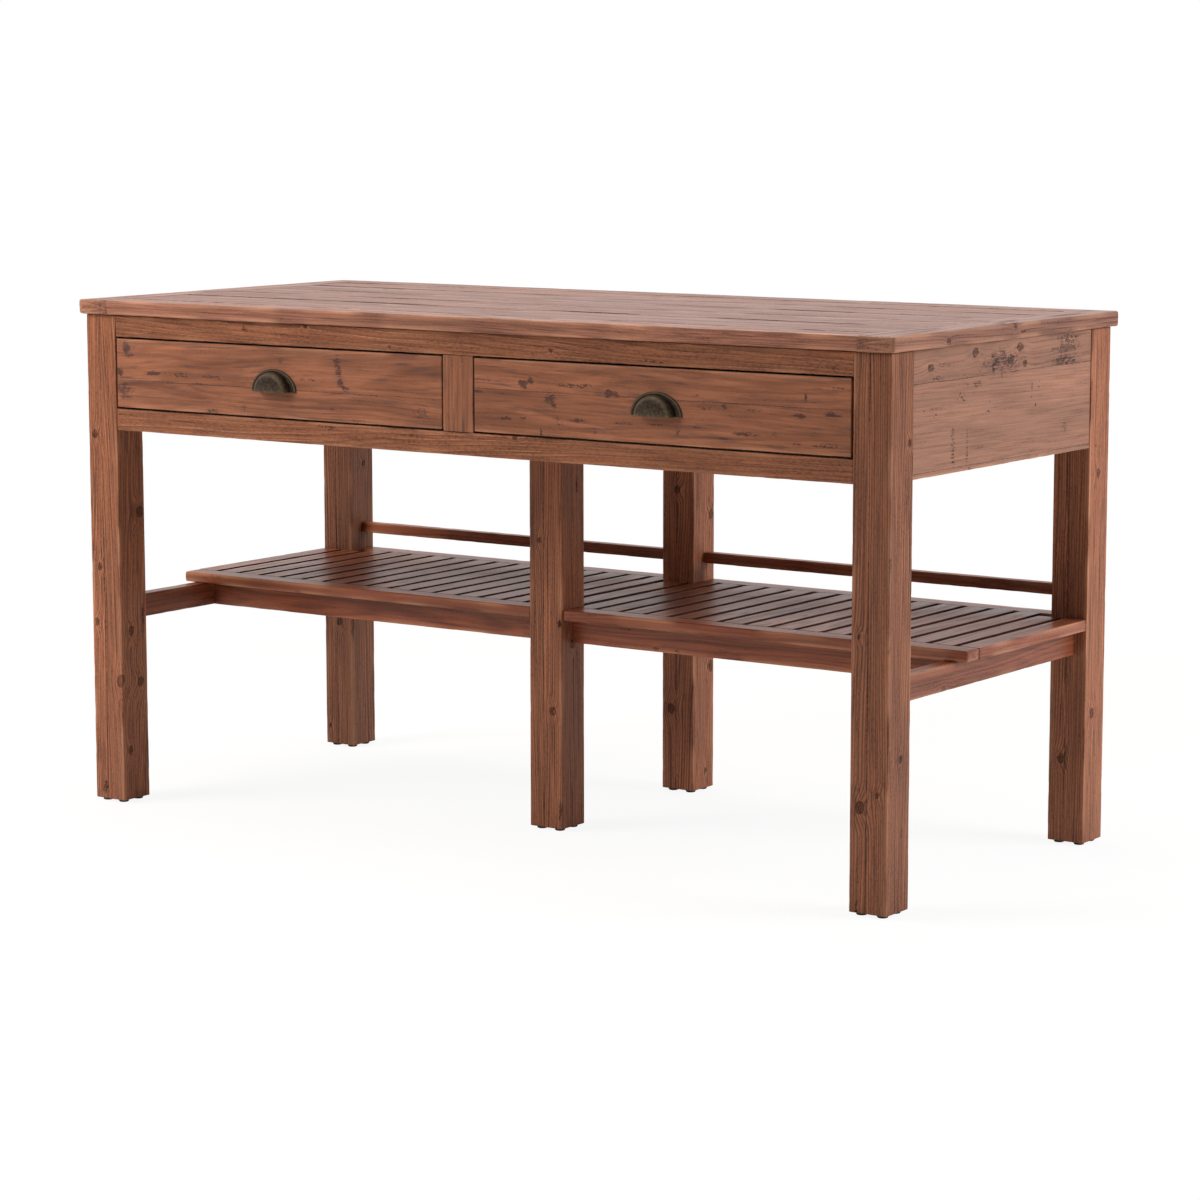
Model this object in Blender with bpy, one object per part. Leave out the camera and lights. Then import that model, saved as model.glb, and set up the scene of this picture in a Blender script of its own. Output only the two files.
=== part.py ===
"""Kitchen island: a framed plank top on six legs, two drawers with cup pulls, and a slatted shelf.

Metres, +Z up. The front faces -Y, and the origin lies on the floor under the middle of the base.
Boards are lofts through rings of eased sections. Rails end in tenons, and each tenon leaves its
mortise in the piece that it joins.
"""

from collections import defaultdict
from math import cos, pi, sin

import bmesh
import bpy
from mathutils import Vector

# Overall sizes
HEIGHT = 0.914
TOP_LENGTH = 1.690
TOP_DEPTH = 0.750
TOP_THICKNESS = 0.0265
TOP_OVERHANG = 0.010

# Clearance between faces that touch, and the easing of edges
SEAT = 0.0003
ARRIS = 0.0015
SEAM_ARRIS = 0.0006
TOP_ROUND = 0.004
ROUND_STEPS = 2
PLAIN_STEPS = 1
THINNEST_PER_ROUND = 4.0
ROUND_PER_END_ROUND = 3.0

# Points closer than this are one, and edges whose directions agree this well run on as one
WELD = 0.00001
STRAIGHT = 0.5

# Top: end boards across both ends, edge boards front and back, planks of mixed width between
END_BOARD_WIDTH = 0.067
EDGE_BOARD_WIDTH = 0.066
PLANK_SHARES = (0.254, 0.200, 0.190, 0.188, 0.168)

# Legs and the glides under them
LEG_WIDTH = 0.068
MID_LEG_SETBACK = 0.248
GLIDE_DIAMETER = 0.018
GLIDE_HEIGHT = 0.004
GLIDE_ROUND = 0.0015
GLIDE_INSET = 0.015
GLIDE_SIDES = 12
GLIDE_SINK = 0.002

# Tenons
TENON_THICKNESS = 0.010
TENON_LENGTH = 0.020
STUB_LENGTH = 0.012
TENON_SHOULDER = 0.005
TENON_ROUND = 0.0008

# Front frame and the panels round the other sides
RAIL_THICKNESS = 0.028
FRONT_RECESS = 0.001
TOP_RAIL_HEIGHT = 0.0385
BOTTOM_RAIL_HEIGHT = 0.039
STILE_WIDTH = 0.063
PANEL_THICKNESS = 0.020
PANEL_HEIGHT = 0.2015
PANEL_RECESS = 0.0015

# Drawers and what they run on
DRAWER_FRONT_HEIGHT = 0.123
DRAWER_FRONT_THICKNESS = 0.020
DRAWER_GAP = 0.0025
DRAWER_BACK_ROOM = 0.080
SIDE_THICKNESS = 0.013
SIDE_CLEARANCE = 0.0015
HOUSING_DEPTH = 0.008
BACK_DROP = 0.006
BOTTOM_THICKNESS = 0.006
BOTTOM_RISE = 0.010
GROOVE_DEPTH = 0.006
GUIDE_THICKNESS = 0.008
GUIDE_HEIGHT = 0.030
LEDGE_THICKNESS = 0.016

# Cup pulls
PULL_WIDTH = 0.100
PULL_HEIGHT = 0.041
PULL_DEPTH = 0.025
PULL_RISE = 0.0455
PULL_FLANGE_WIDTH = 0.006
PULL_FLANGE_THICKNESS = 0.0025
PULL_WALL = 0.002
PULL_CROWN = 0.72
PULL_DOME_STEPS = 6
PULL_ARC_STEPS = 18

# Shelf, its carriers and the guard rail behind it
SHELF_TOP = 0.393
SHELF_THICKNESS = 0.019
SHELF_FRONT_INSET = 0.002
SHELF_RAIL_WIDTH = 0.040
SLATS_EACH_SIDE = 16
SLAT_GAP = 0.009
STRETCHER_HEIGHT = 0.042
STRETCHER_THICKNESS = 0.026
APRON_THICKNESS = 0.024
APRON_SETBACK = 0.031
GUARD_HEIGHT = 0.020
GUARD_THICKNESS = 0.018
GUARD_SETBACK = 0.033
GUARD_RISE = 0.0325

# Finishes: base colour, roughness and metallic value
FINISHES = {
    "top_pine": ((0.262, 0.133, 0.085), 0.38, 0.0),
    "frame_pine": ((0.208, 0.093, 0.050), 0.48, 0.0),
    "drawer_pine": ((0.296, 0.126, 0.060), 0.45, 0.0),
    "shelf_pine": ((0.133, 0.058, 0.036), 0.35, 0.0),
    "raw_pine": ((0.480, 0.310, 0.170), 0.70, 0.0),
    "plywood": ((0.520, 0.360, 0.210), 0.65, 0.0),
    "aged_bronze": ((0.062, 0.048, 0.036), 0.42, 0.9),
}

# Planes that the pieces share
BASE_X = TOP_LENGTH / 2 - TOP_OVERHANG
BASE_Y = TOP_DEPTH / 2 - TOP_OVERHANG
TOP_UNDER = HEIGHT - TOP_THICKNESS
LEG_TOP = TOP_UNDER - SEAT
INNER_X = BASE_X - LEG_WIDTH
INNER_Y = BASE_Y - LEG_WIDTH
MID_X = LEG_WIDTH / 2
MID_LEG_FRONT = MID_LEG_SETBACK - BASE_Y
MID_LEG_BACK = MID_LEG_FRONT + LEG_WIDTH
FRONT_Y = FRONT_RECESS - BASE_Y
RAIL_BACK = FRONT_Y + RAIL_THICKNESS
PANEL_FACE_Y = BASE_Y - PANEL_RECESS
PANEL_INNER_Y = PANEL_FACE_Y - PANEL_THICKNESS
PANEL_BOTTOM = TOP_UNDER - PANEL_HEIGHT
OPENING_TOP = LEG_TOP - TOP_RAIL_HEIGHT
OPENING_BOTTOM = OPENING_TOP - DRAWER_FRONT_HEIGHT - 2 * DRAWER_GAP
CENTRE_X = max(MID_X, STILE_WIDTH / 2)
RUNNER_WIDTH = GUIDE_THICKNESS + SIDE_CLEARANCE + SIDE_THICKNESS
SHELF_BOTTOM = SHELF_TOP - SHELF_THICKNESS
CARRIER_TOP = SHELF_BOTTOM - SEAT
CARRIER_BOTTOM = CARRIER_TOP - STRETCHER_HEIGHT
SHELF_FRONT = MID_LEG_FRONT + SHELF_FRONT_INSET
SLAT_PITCH = (2 * BASE_X + SLAT_GAP) / (2 * SLATS_EACH_SIDE + 1)
SLAT_WIDTH = SLAT_PITCH - SLAT_GAP
SLAT_FRONT = SHELF_FRONT + SHELF_RAIL_WIDTH
SLAT_BACK = BASE_Y - SHELF_RAIL_WIDTH - SEAT

AXES = "XYZ"

# Boxes to cut from a piece, by the piece's name; filled in by the tenons that enter it
mortises = defaultdict(list)


def clear_scene():
    """Remove what the file opened with."""
    for thing in list(bpy.data.objects):
        bpy.data.objects.remove(thing, do_unlink=True)


def empty(name, place):
    """A guide that pieces hang from."""
    guide = bpy.data.objects.new(name, None)
    guide.location = place
    bpy.context.scene.collection.objects.link(guide)
    return guide


def material(name, finish):
    """A Principled material of one of the finishes."""
    colour, roughness, metallic = FINISHES[finish]
    made = bpy.data.materials.new(name)
    made.use_nodes = True
    shader = made.node_tree.nodes["Principled BSDF"]
    shader.inputs["Base Color"].default_value = (*colour, 1.0)
    shader.inputs["Roughness"].default_value = roughness
    shader.inputs["Metallic"].default_value = metallic
    made.diffuse_color = (*colour, 1.0)
    return made


def solid(name, shape, place, finish, parent):
    """Turn a bmesh into a named object at a place in the world."""
    bmesh.ops.recalc_face_normals(shape, faces=shape.faces)
    mesh = bpy.data.meshes.new(name)
    shape.to_mesh(mesh)
    shape.free()
    piece = bpy.data.objects.new(name, mesh)
    bpy.context.scene.collection.objects.link(piece)
    piece.parent = parent
    piece.location = Vector(place) - parent.location
    if finish:
        mesh.materials.append(material(name, finish))
    return piece


def guide_shape(name, shape, parent):
    """A shape that only cuts or joins another, hidden from the result."""
    piece = solid(name, shape, parent.location, None, parent)
    piece.hide_render = True
    piece.display_type = "WIRE"
    return piece


def combine(piece, tool, operation):
    """Cut the tool from the piece, or join it on."""
    change = piece.modifiers.new(tool.name, "BOOLEAN")
    change.operation = operation
    change.solver = "EXACT"
    change.use_self = True
    change.object = tool


def eased(width, height, radii, steps):
    """Points round a rectangle whose corners are arcs, from the +u +v corner on."""
    points = []
    for quarter, radius in enumerate(radii):
        sign_u = 1 if quarter in (0, 3) else -1
        sign_v = 1 if quarter < 2 else -1
        for step in range(steps + 1):
            angle = (quarter + step / steps) * pi / 2
            u = sign_u * (width / 2 - radius) + radius * cos(angle)
            v = sign_v * (height / 2 - radius) + radius * sin(angle)
            points.append((u, v))
    return points


def loft(rings, run):
    """A closed bmesh through rings of (station, points) along an axis."""
    along = AXES.index(run)
    across = [axis for axis in range(3) if axis != along]
    shape = bmesh.new()
    loops = []
    for station, points in rings:
        loop = []
        for u, v in points:
            place = [0.0, 0.0, 0.0]
            place[along] = station
            place[across[0]] = u
            place[across[1]] = v
            loop.append(shape.verts.new(place))
        loops.append(loop)
    for before, after in zip(loops, loops[1:]):
        count = len(before)
        for i in range(count):
            j = (i + 1) % count
            shape.faces.new((before[i], before[j], after[j], after[i]))
    shape.faces.new(reversed(loops[0]))
    shape.faces.new(loops[-1])
    return shape


def block(shape, low, high):
    """Add a plain box between two corners to a bmesh."""
    made = bmesh.ops.create_cube(shape, size=1.0)
    middle = (Vector(low) + Vector(high)) / 2
    extent = Vector(high) - Vector(low)
    for vert in made["verts"]:
        vert.co = middle + Vector(a * b for a, b in zip(vert.co, extent))


def cut_mortises(piece, parent):
    """Cut the boxes that the joining tenons have left for this piece."""
    boxes = mortises.pop(piece.name, None)
    if not boxes:
        return
    shape = bmesh.new()
    for low, high in boxes:
        block(shape, low, high)
    for vert in shape.verts:
        vert.co -= parent.location
    combine(piece, guide_shape(f"{piece.name}_mortises", shape, parent), "DIFFERENCE")


def board(name, low, high, run, finish, parent, radii=None, end_round=None, tenons=None, steps=PLAIN_STEPS):
    """A board between two corners, with eased arrises and, where asked, a tenon on each end.

    radii are the arrises along the board and end_round those of its ends. tenons is the size
    of the tenons across the board, then the length of each.
    """
    along = AXES.index(run)
    across = [axis for axis in range(3) if axis != along]
    extent = Vector(high) - Vector(low)
    width, height = (extent[axis] for axis in across)
    half = extent[along] / 2
    limit = min(width, height) / THINNEST_PER_ROUND
    radii = [min(radius, limit) for radius in (radii or [ARRIS] * 4)]
    end_round = min(ARRIS if end_round is None else end_round, limit)
    rings = []
    if tenons:
        tenon_width, tenon_height, lengths = tenons
        face = eased(width, height, radii, steps)
        root = eased(tenon_width, tenon_height, [TENON_ROUND] * 4, steps)
        rings += [(-half - lengths[0], root), (-half, root), (-half, face)]
        rings += [(half, face), (half, root), (half + lengths[1], root)]
    else:
        ring_list = []
        for step in range(steps + 1):
            angle = step / steps * pi / 2
            inset = end_round * (1 - cos(angle))
            turned = [max(radius - inset, radius / ROUND_PER_END_ROUND) for radius in radii]
            points = eased(width - 2 * inset, height - 2 * inset, turned, steps)
            ring_list.append((half - end_round * (1 - sin(angle)), points))
        rings = [(-station, points) for station, points in reversed(ring_list)] + ring_list
    middle = (Vector(low) + Vector(high)) / 2
    piece = solid(name, loft(rings, run), middle, finish, parent)
    cut_mortises(piece, parent)
    return piece


def rail(name, low, high, run, thin, joins, finish, parent, lengths=None, radii=None, steps=PLAIN_STEPS):
    """A board with a tenon at each end; joins names the pieces that take them.

    thin is the axis across which the tenons are thin.
    """
    along = AXES.index(run)
    across = [axis for axis in range(3) if axis != along]
    lengths = lengths or (TENON_LENGTH, TENON_LENGTH)
    extent = Vector(high) - Vector(low)
    sizes = {}
    for axis in across:
        full = extent[axis] - 2 * TENON_SHOULDER
        sizes[axis] = min(TENON_THICKNESS, full) if axis == AXES.index(thin) else full
    middle = (Vector(low) + Vector(high)) / 2
    for partner, sign, length in zip(joins, (-1, 1), lengths):
        near = [0.0, 0.0, 0.0]
        far = [0.0, 0.0, 0.0]
        for axis in across:
            near[axis] = middle[axis] - sizes[axis] / 2 - SEAT
            far[axis] = middle[axis] + sizes[axis] / 2 + SEAT
        shoulder = middle[along] + sign * extent[along] / 2
        tip = shoulder + sign * (length + SEAT)
        near[along] = min(shoulder, tip)
        far[along] = max(shoulder, tip)
        mortises[partner].append((near, far))
    tenons = (sizes[across[0]], sizes[across[1]], lengths)
    return board(name, low, high, run, finish, parent, radii, None, tenons, steps)


def sides():
    """The name of each side, and the sign of its x."""
    return (("left", -1), ("right", 1))


def mirrored(sign, near, far):
    """The lower and upper x of a span given by its distances from the middle."""
    return (near, far) if sign > 0 else (-far, -near)


def make_top(base):
    """End boards across both ends take the tenons of the edge boards and planks."""
    low_z = TOP_UNDER
    reach_x = TOP_LENGTH / 2 - END_BOARD_WIDTH - SEAT
    reach_y = TOP_DEPTH / 2
    inner_y = reach_y - EDGE_BOARD_WIDTH
    ends = ("top_end_left", "top_end_right")
    front_radii = (SEAM_ARRIS, TOP_ROUND, TOP_ROUND, SEAM_ARRIS)
    back_radii = (TOP_ROUND, SEAM_ARRIS, SEAM_ARRIS, TOP_ROUND)
    seam_radii = (SEAM_ARRIS,) * 4
    strips = [("top_front_board", -reach_y, -inner_y, front_radii)]
    start = -inner_y
    for number, share in enumerate(PLANK_SHARES, 1):
        stop = start + share / sum(PLANK_SHARES) * 2 * inner_y
        strips.append((f"top_plank_{number}", start + SEAT, stop, seam_radii))
        start = stop
    strips.append(("top_back_board", inner_y + SEAT, reach_y, back_radii))
    for name, low_y, high_y, radii in strips:
        low = (-reach_x, low_y, low_z)
        high = (reach_x, high_y, HEIGHT)
        rail(name, low, high, "X", "Z", ends, "top_pine", base, None, radii, ROUND_STEPS)
    for side, sign in sides():
        low_x, high_x = mirrored(sign, TOP_LENGTH / 2 - END_BOARD_WIDTH, TOP_LENGTH / 2)
        radii = back_radii if sign > 0 else front_radii
        low = (low_x, -reach_y, low_z)
        high = (high_x, reach_y, HEIGHT)
        board(f"top_end_{side}", low, high, "Y", "top_pine", base, radii, TOP_ROUND, None, ROUND_STEPS)


def make_front(base):
    """The stile between two rails; the rails run from corner leg to corner leg."""
    rails = ("front_bottom_rail", "front_top_rail")
    legs = ("leg_front_left", "leg_front_right")
    low = (-STILE_WIDTH / 2, FRONT_Y, OPENING_BOTTOM + SEAT)
    high = (STILE_WIDTH / 2, RAIL_BACK, OPENING_TOP - SEAT)
    rail("front_stile", low, high, "Z", "Y", rails, "frame_pine", base, (STUB_LENGTH, STUB_LENGTH))
    spans = ((OPENING_BOTTOM - BOTTOM_RAIL_HEIGHT, OPENING_BOTTOM), (OPENING_TOP, LEG_TOP))
    for name, (low_z, high_z) in zip(rails, spans):
        low = (SEAT - INNER_X, FRONT_Y, low_z)
        high = (INNER_X - SEAT, RAIL_BACK, high_z)
        rail(name, low, high, "X", "Y", legs, "frame_pine", base)


def make_panels(base):
    """End panels between front and back legs, and back panels on both sides of the middle leg."""
    for side, sign in sides():
        outer = BASE_X - PANEL_RECESS
        low_x, high_x = mirrored(sign, outer - PANEL_THICKNESS, outer)
        low = (low_x, SEAT - INNER_Y, PANEL_BOTTOM)
        high = (high_x, INNER_Y - SEAT, LEG_TOP)
        joins = (f"leg_front_{side}", f"leg_back_{side}")
        rail(f"end_panel_{side}", low, high, "Y", "X", joins, "frame_pine", base)
        low_x, high_x = mirrored(sign, MID_X + SEAT, INNER_X - SEAT)
        joins = ("leg_back_middle", f"leg_back_{side}")
        if sign < 0:
            joins = joins[::-1]
        low = (low_x, PANEL_INNER_Y, PANEL_BOTTOM)
        high = (high_x, PANEL_FACE_Y, LEG_TOP)
        rail(f"back_panel_{side}", low, high, "X", "Y", joins, "frame_pine", base)


def make_runners(base):
    """Runners with a guide strip, kickers over the drawer sides, and the bearers at the middle."""
    back_y = PANEL_INNER_Y - SEAT
    bearer_low = OPENING_BOTTOM - BOTTOM_RAIL_HEIGHT
    spans = (("front", RAIL_BACK, MID_LEG_FRONT), ("rear", MID_LEG_BACK, INNER_Y))
    for part, low_y, high_y in spans:
        low = (-CENTRE_X, low_y + SEAT, bearer_low)
        high = (CENTRE_X, high_y - SEAT, OPENING_BOTTOM)
        board(f"centre_bearer_{part}", low, high, "Y", "raw_pine", base)
    for side, sign in sides():
        walls = (("inner", sign * (CENTRE_X + SEAT), sign), ("outer", sign * (INNER_X - SEAT), -sign))
        for place, wall, inward in walls:
            shelf_z = OPENING_BOTTOM - LEDGE_THICKNESS
            guide_z = OPENING_BOTTOM + GUIDE_HEIGHT
            edge = wall + inward * RUNNER_WIDTH
            guide = wall + inward * GUIDE_THICKNESS
            outline = [(wall, shelf_z), (edge, shelf_z), (edge, OPENING_BOTTOM),
                       (guide, OPENING_BOTTOM), (guide, guide_z), (wall, guide_z)]
            shape = loft([(RAIL_BACK + SEAT, outline), (back_y, outline)], "Y")
            solid(f"runner_{side}_{place}", shape, (0, 0, 0), "raw_pine", base)
            low = (min(wall, edge), RAIL_BACK + SEAT, OPENING_TOP)
            high = (max(wall, edge), back_y, LEG_TOP)
            board(f"kicker_{side}_{place}", low, high, "Y", "raw_pine", base)


def make_carriers(base):
    """Stretchers and aprons under the shelf, and the guard rail above its back edge."""
    low_z, high_z = CARRIER_BOTTOM, CARRIER_TOP
    low = (-STRETCHER_THICKNESS / 2, MID_LEG_BACK + SEAT, low_z)
    high = (STRETCHER_THICKNESS / 2, INNER_Y - SEAT, high_z)
    legs = ("leg_front_middle", "leg_back_middle")
    rail("shelf_stretcher_middle", low, high, "Y", "X", legs, "shelf_pine", base)
    stretcher_outer = BASE_X - (LEG_WIDTH - STRETCHER_THICKNESS) / 2
    stretcher_inner = stretcher_outer - STRETCHER_THICKNESS
    apron_front = MID_LEG_FRONT + APRON_SETBACK
    back_front = BASE_Y - (LEG_WIDTH + APRON_THICKNESS) / 2
    guard_front = INNER_Y + GUARD_SETBACK
    guard_low = SHELF_TOP + GUARD_RISE
    for side, sign in sides():
        turn = slice(None, None, sign)
        low_x, high_x = mirrored(sign, MID_X + SEAT, stretcher_inner - SEAT)
        joins = ("leg_front_middle", f"shelf_stretcher_{side}")[turn]
        low = (low_x, apron_front, low_z)
        high = (high_x, apron_front + APRON_THICKNESS, high_z)
        lengths = (TENON_LENGTH, STUB_LENGTH)[turn]
        rail(f"shelf_apron_front_{side}", low, high, "X", "Y", joins, "shelf_pine", base, lengths)
        low_x, high_x = mirrored(sign, MID_X + SEAT, INNER_X - SEAT)
        legs = ("leg_back_middle", f"leg_back_{side}")[turn]
        low = (low_x, back_front, low_z)
        high = (high_x, back_front + APRON_THICKNESS, high_z)
        rail(f"shelf_apron_back_{side}", low, high, "X", "Y", legs, "shelf_pine", base)
        low = (low_x, guard_front, guard_low)
        high = (high_x, guard_front + GUARD_THICKNESS, guard_low + GUARD_HEIGHT)
        rail(f"guard_rail_{side}", low, high, "X", "Y", legs, "shelf_pine", base)
        low_x, high_x = mirrored(sign, stretcher_inner, stretcher_outer)
        joins = (f"leg_front_{side}", f"leg_back_{side}")
        low = (low_x, SEAT - INNER_Y, low_z)
        high = (high_x, INNER_Y - SEAT, high_z)
        rail(f"shelf_stretcher_{side}", low, high, "Y", "X", joins, "shelf_pine", base)


def slat_outline(number):
    """Points round one slat's free end, from its inner to its outer edge, clear of the legs."""
    inner = max(number * SLAT_PITCH - SLAT_WIDTH / 2, MID_X + SEAT)
    outer = number * SLAT_PITCH + SLAT_WIDTH / 2
    leg_edge = INNER_X - SEAT
    leg_stop = INNER_Y - SEAT
    if outer <= leg_edge:
        ends = [(inner, SLAT_BACK), (outer, SLAT_BACK)]
    elif inner >= leg_edge:
        ends = [(inner, leg_stop), (outer, leg_stop)]
    else:
        ends = [(inner, SLAT_BACK), (leg_edge, SLAT_BACK), (leg_edge, leg_stop), (outer, leg_stop)]
    return [(inner, SLAT_FRONT)] + ends + [(outer, SLAT_FRONT)]


def corners(outline):
    """The outline without points that repeat or that lie between their neighbours."""
    apart = []
    for i, point in enumerate(outline):
        if (Vector(point) - Vector(outline[i - 1])).length > WELD:
            apart.append(point)
    kept = []
    for i, point in enumerate(apart):
        before = (Vector(point) - Vector(apart[i - 1])).normalized()
        after = (Vector(apart[(i + 1) % len(apart)]) - Vector(point)).normalized()
        if before.dot(after) < STRAIGHT:
            kept.append(point)
    return kept


def inset(outline, distance):
    """The square-cornered outline drawn in by a distance; its points go round anticlockwise."""
    moved = []
    for i, point in enumerate(outline):
        before = (Vector(point) - Vector(outline[i - 1])).normalized()
        after = (Vector(outline[(i + 1) % len(outline)]) - Vector(point)).normalized()
        inward = Vector((-before.y - after.y, before.x + after.x))
        moved.append(Vector(point) + distance * inward)
    return moved


def slatted_outline():
    """Round one front rail and the slats that stand on it, anticlockwise from the end of the shelf."""
    rail_end = MID_X + SEAT
    outline = [(BASE_X, SHELF_FRONT), (BASE_X, SLAT_FRONT)]
    for number in range(SLATS_EACH_SIDE, 0, -1):
        outline += reversed(slat_outline(number))
    return corners(outline + [(rail_end, SLAT_FRONT), (rail_end, SHELF_FRONT)])


def make_shelf(base):
    """Front rails with their slats in one piece, back rails, and the slat behind the middle leg."""
    outline = slatted_outline()
    levels = ((SHELF_BOTTOM, 0.0), (SHELF_TOP - ARRIS, 0.0), (SHELF_TOP, ARRIS))
    for side, sign in sides():
        rings = []
        for level, distance in levels:
            rings.append((level, [(sign * x, y) for x, y in inset(outline, distance)]))
        solid(f"shelf_slats_{side}", loft(rings, "Z"), (0, 0, 0), "shelf_pine", base)
        low_x, high_x = mirrored(sign, MID_X + SEAT, INNER_X - SEAT)
        low = (low_x, BASE_Y - SHELF_RAIL_WIDTH, SHELF_BOTTOM)
        board(f"shelf_back_rail_{side}", low, (high_x, BASE_Y, SHELF_TOP), "X", "shelf_pine", base)
    low = (-SLAT_WIDTH / 2, MID_LEG_BACK + SEAT, SHELF_BOTTOM)
    board("shelf_slat_centre", low, (SLAT_WIDTH / 2, INNER_Y - SEAT, SHELF_TOP), "Y", "shelf_pine", base)


def glides(name, x, y, base):
    """Four round glides, sunk a little into the foot that they are nailed to."""
    offset = LEG_WIDTH / 2 - GLIDE_INSET
    radius = GLIDE_DIAMETER / 2
    profile = ((0.0, radius - GLIDE_ROUND), (GLIDE_ROUND, radius), (GLIDE_HEIGHT + GLIDE_SINK, radius))
    shape = bmesh.new()
    for side_x in (-1, 1):
        for side_y in (-1, 1):
            loops = []
            for z, reach in profile:
                loop = []
                for step in range(GLIDE_SIDES):
                    angle = 2 * pi * step / GLIDE_SIDES
                    across = x + side_x * offset + reach * cos(angle)
                    back = y + side_y * offset + reach * sin(angle)
                    loop.append(shape.verts.new((across, back, z)))
                loops.append(loop)
            for before, after in zip(loops, loops[1:]):
                for i in range(GLIDE_SIDES):
                    j = (i + 1) % GLIDE_SIDES
                    shape.faces.new((before[i], before[j], after[j], after[i]))
            shape.faces.new(reversed(loops[0]))
            shape.faces.new(loops[-1])
    return guide_shape(f"{name}_glides", shape, base)


def make_legs(base):
    """Six square legs: four corners, one set back from the front and one at the back."""
    corner_x = BASE_X - LEG_WIDTH / 2
    corner_y = BASE_Y - LEG_WIDTH / 2
    places = [("leg_front_middle", 0.0, MID_LEG_FRONT + LEG_WIDTH / 2), ("leg_back_middle", 0.0, corner_y)]
    for side, sign in sides():
        places.append((f"leg_front_{side}", sign * corner_x, -corner_y))
        places.append((f"leg_back_{side}", sign * corner_x, corner_y))
    for name, x, y in places:
        low = (x - LEG_WIDTH / 2, y - LEG_WIDTH / 2, GLIDE_HEIGHT)
        high = (x + LEG_WIDTH / 2, y + LEG_WIDTH / 2, LEG_TOP)
        post = board(name, low, high, "Z", "frame_pine", base, steps=ROUND_STEPS)
        combine(post, glides(name, x, y, base), "UNION")


def pull_profile():
    """The pull's section from flange to crown and back inside, as (reach in x, reach in z, depth)."""
    flange_x = PULL_WIDTH / 2
    dome_x = flange_x - PULL_FLANGE_WIDTH
    dome_z = PULL_HEIGHT - PULL_FLANGE_WIDTH
    lip = PULL_FLANGE_THICKNESS
    points = [(flange_x, PULL_HEIGHT, 0.0), (flange_x, PULL_HEIGHT, lip)]
    outside = []
    inside = []
    for step in range(PULL_DOME_STEPS + 1):
        angle = step / PULL_DOME_STEPS * pi / 2
        share = cos(angle) ** PULL_CROWN
        rise = sin(angle) ** PULL_CROWN
        if step == PULL_DOME_STEPS:
            share = 0.0
        outside.append((dome_x * share, dome_z * share, lip + (PULL_DEPTH - lip) * rise))
        inner_rise = (PULL_DEPTH - PULL_WALL) * rise
        inside.append(((dome_x - PULL_WALL) * share, (dome_z - PULL_WALL) * share, inner_rise))
    return points + outside + inside[::-1]


def make_pull(side, centre_x, parent):
    """A half-round cup, open below, turned about an axis through the middle of its lower edge."""
    profile = pull_profile()
    shape = bmesh.new()
    columns = []
    for step in range(PULL_ARC_STEPS + 1):
        angle = pi * step / PULL_ARC_STEPS
        column = []
        for reach_x, reach_z, depth in profile:
            place = (reach_x * cos(angle), -depth, reach_z * sin(angle))
            column.append(shape.verts.new(place))
        columns.append(column)
    for before, after in zip(columns, columns[1:]):
        for i in range(len(profile)):
            j = (i + 1) % len(profile)
            shape.faces.new((before[i], before[j], after[j], after[i]))
    shape.faces.new(columns[0])
    shape.faces.new(reversed(columns[-1]))
    bmesh.ops.remove_doubles(shape, verts=shape.verts, dist=WELD)
    place = (centre_x, FRONT_Y - SEAT, OPENING_BOTTOM + DRAWER_GAP + PULL_RISE)
    pull = solid(f"drawer_{side}_pull", shape, place, "aged_bronze", parent)
    pull.data.shade_smooth()
    return pull


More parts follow.
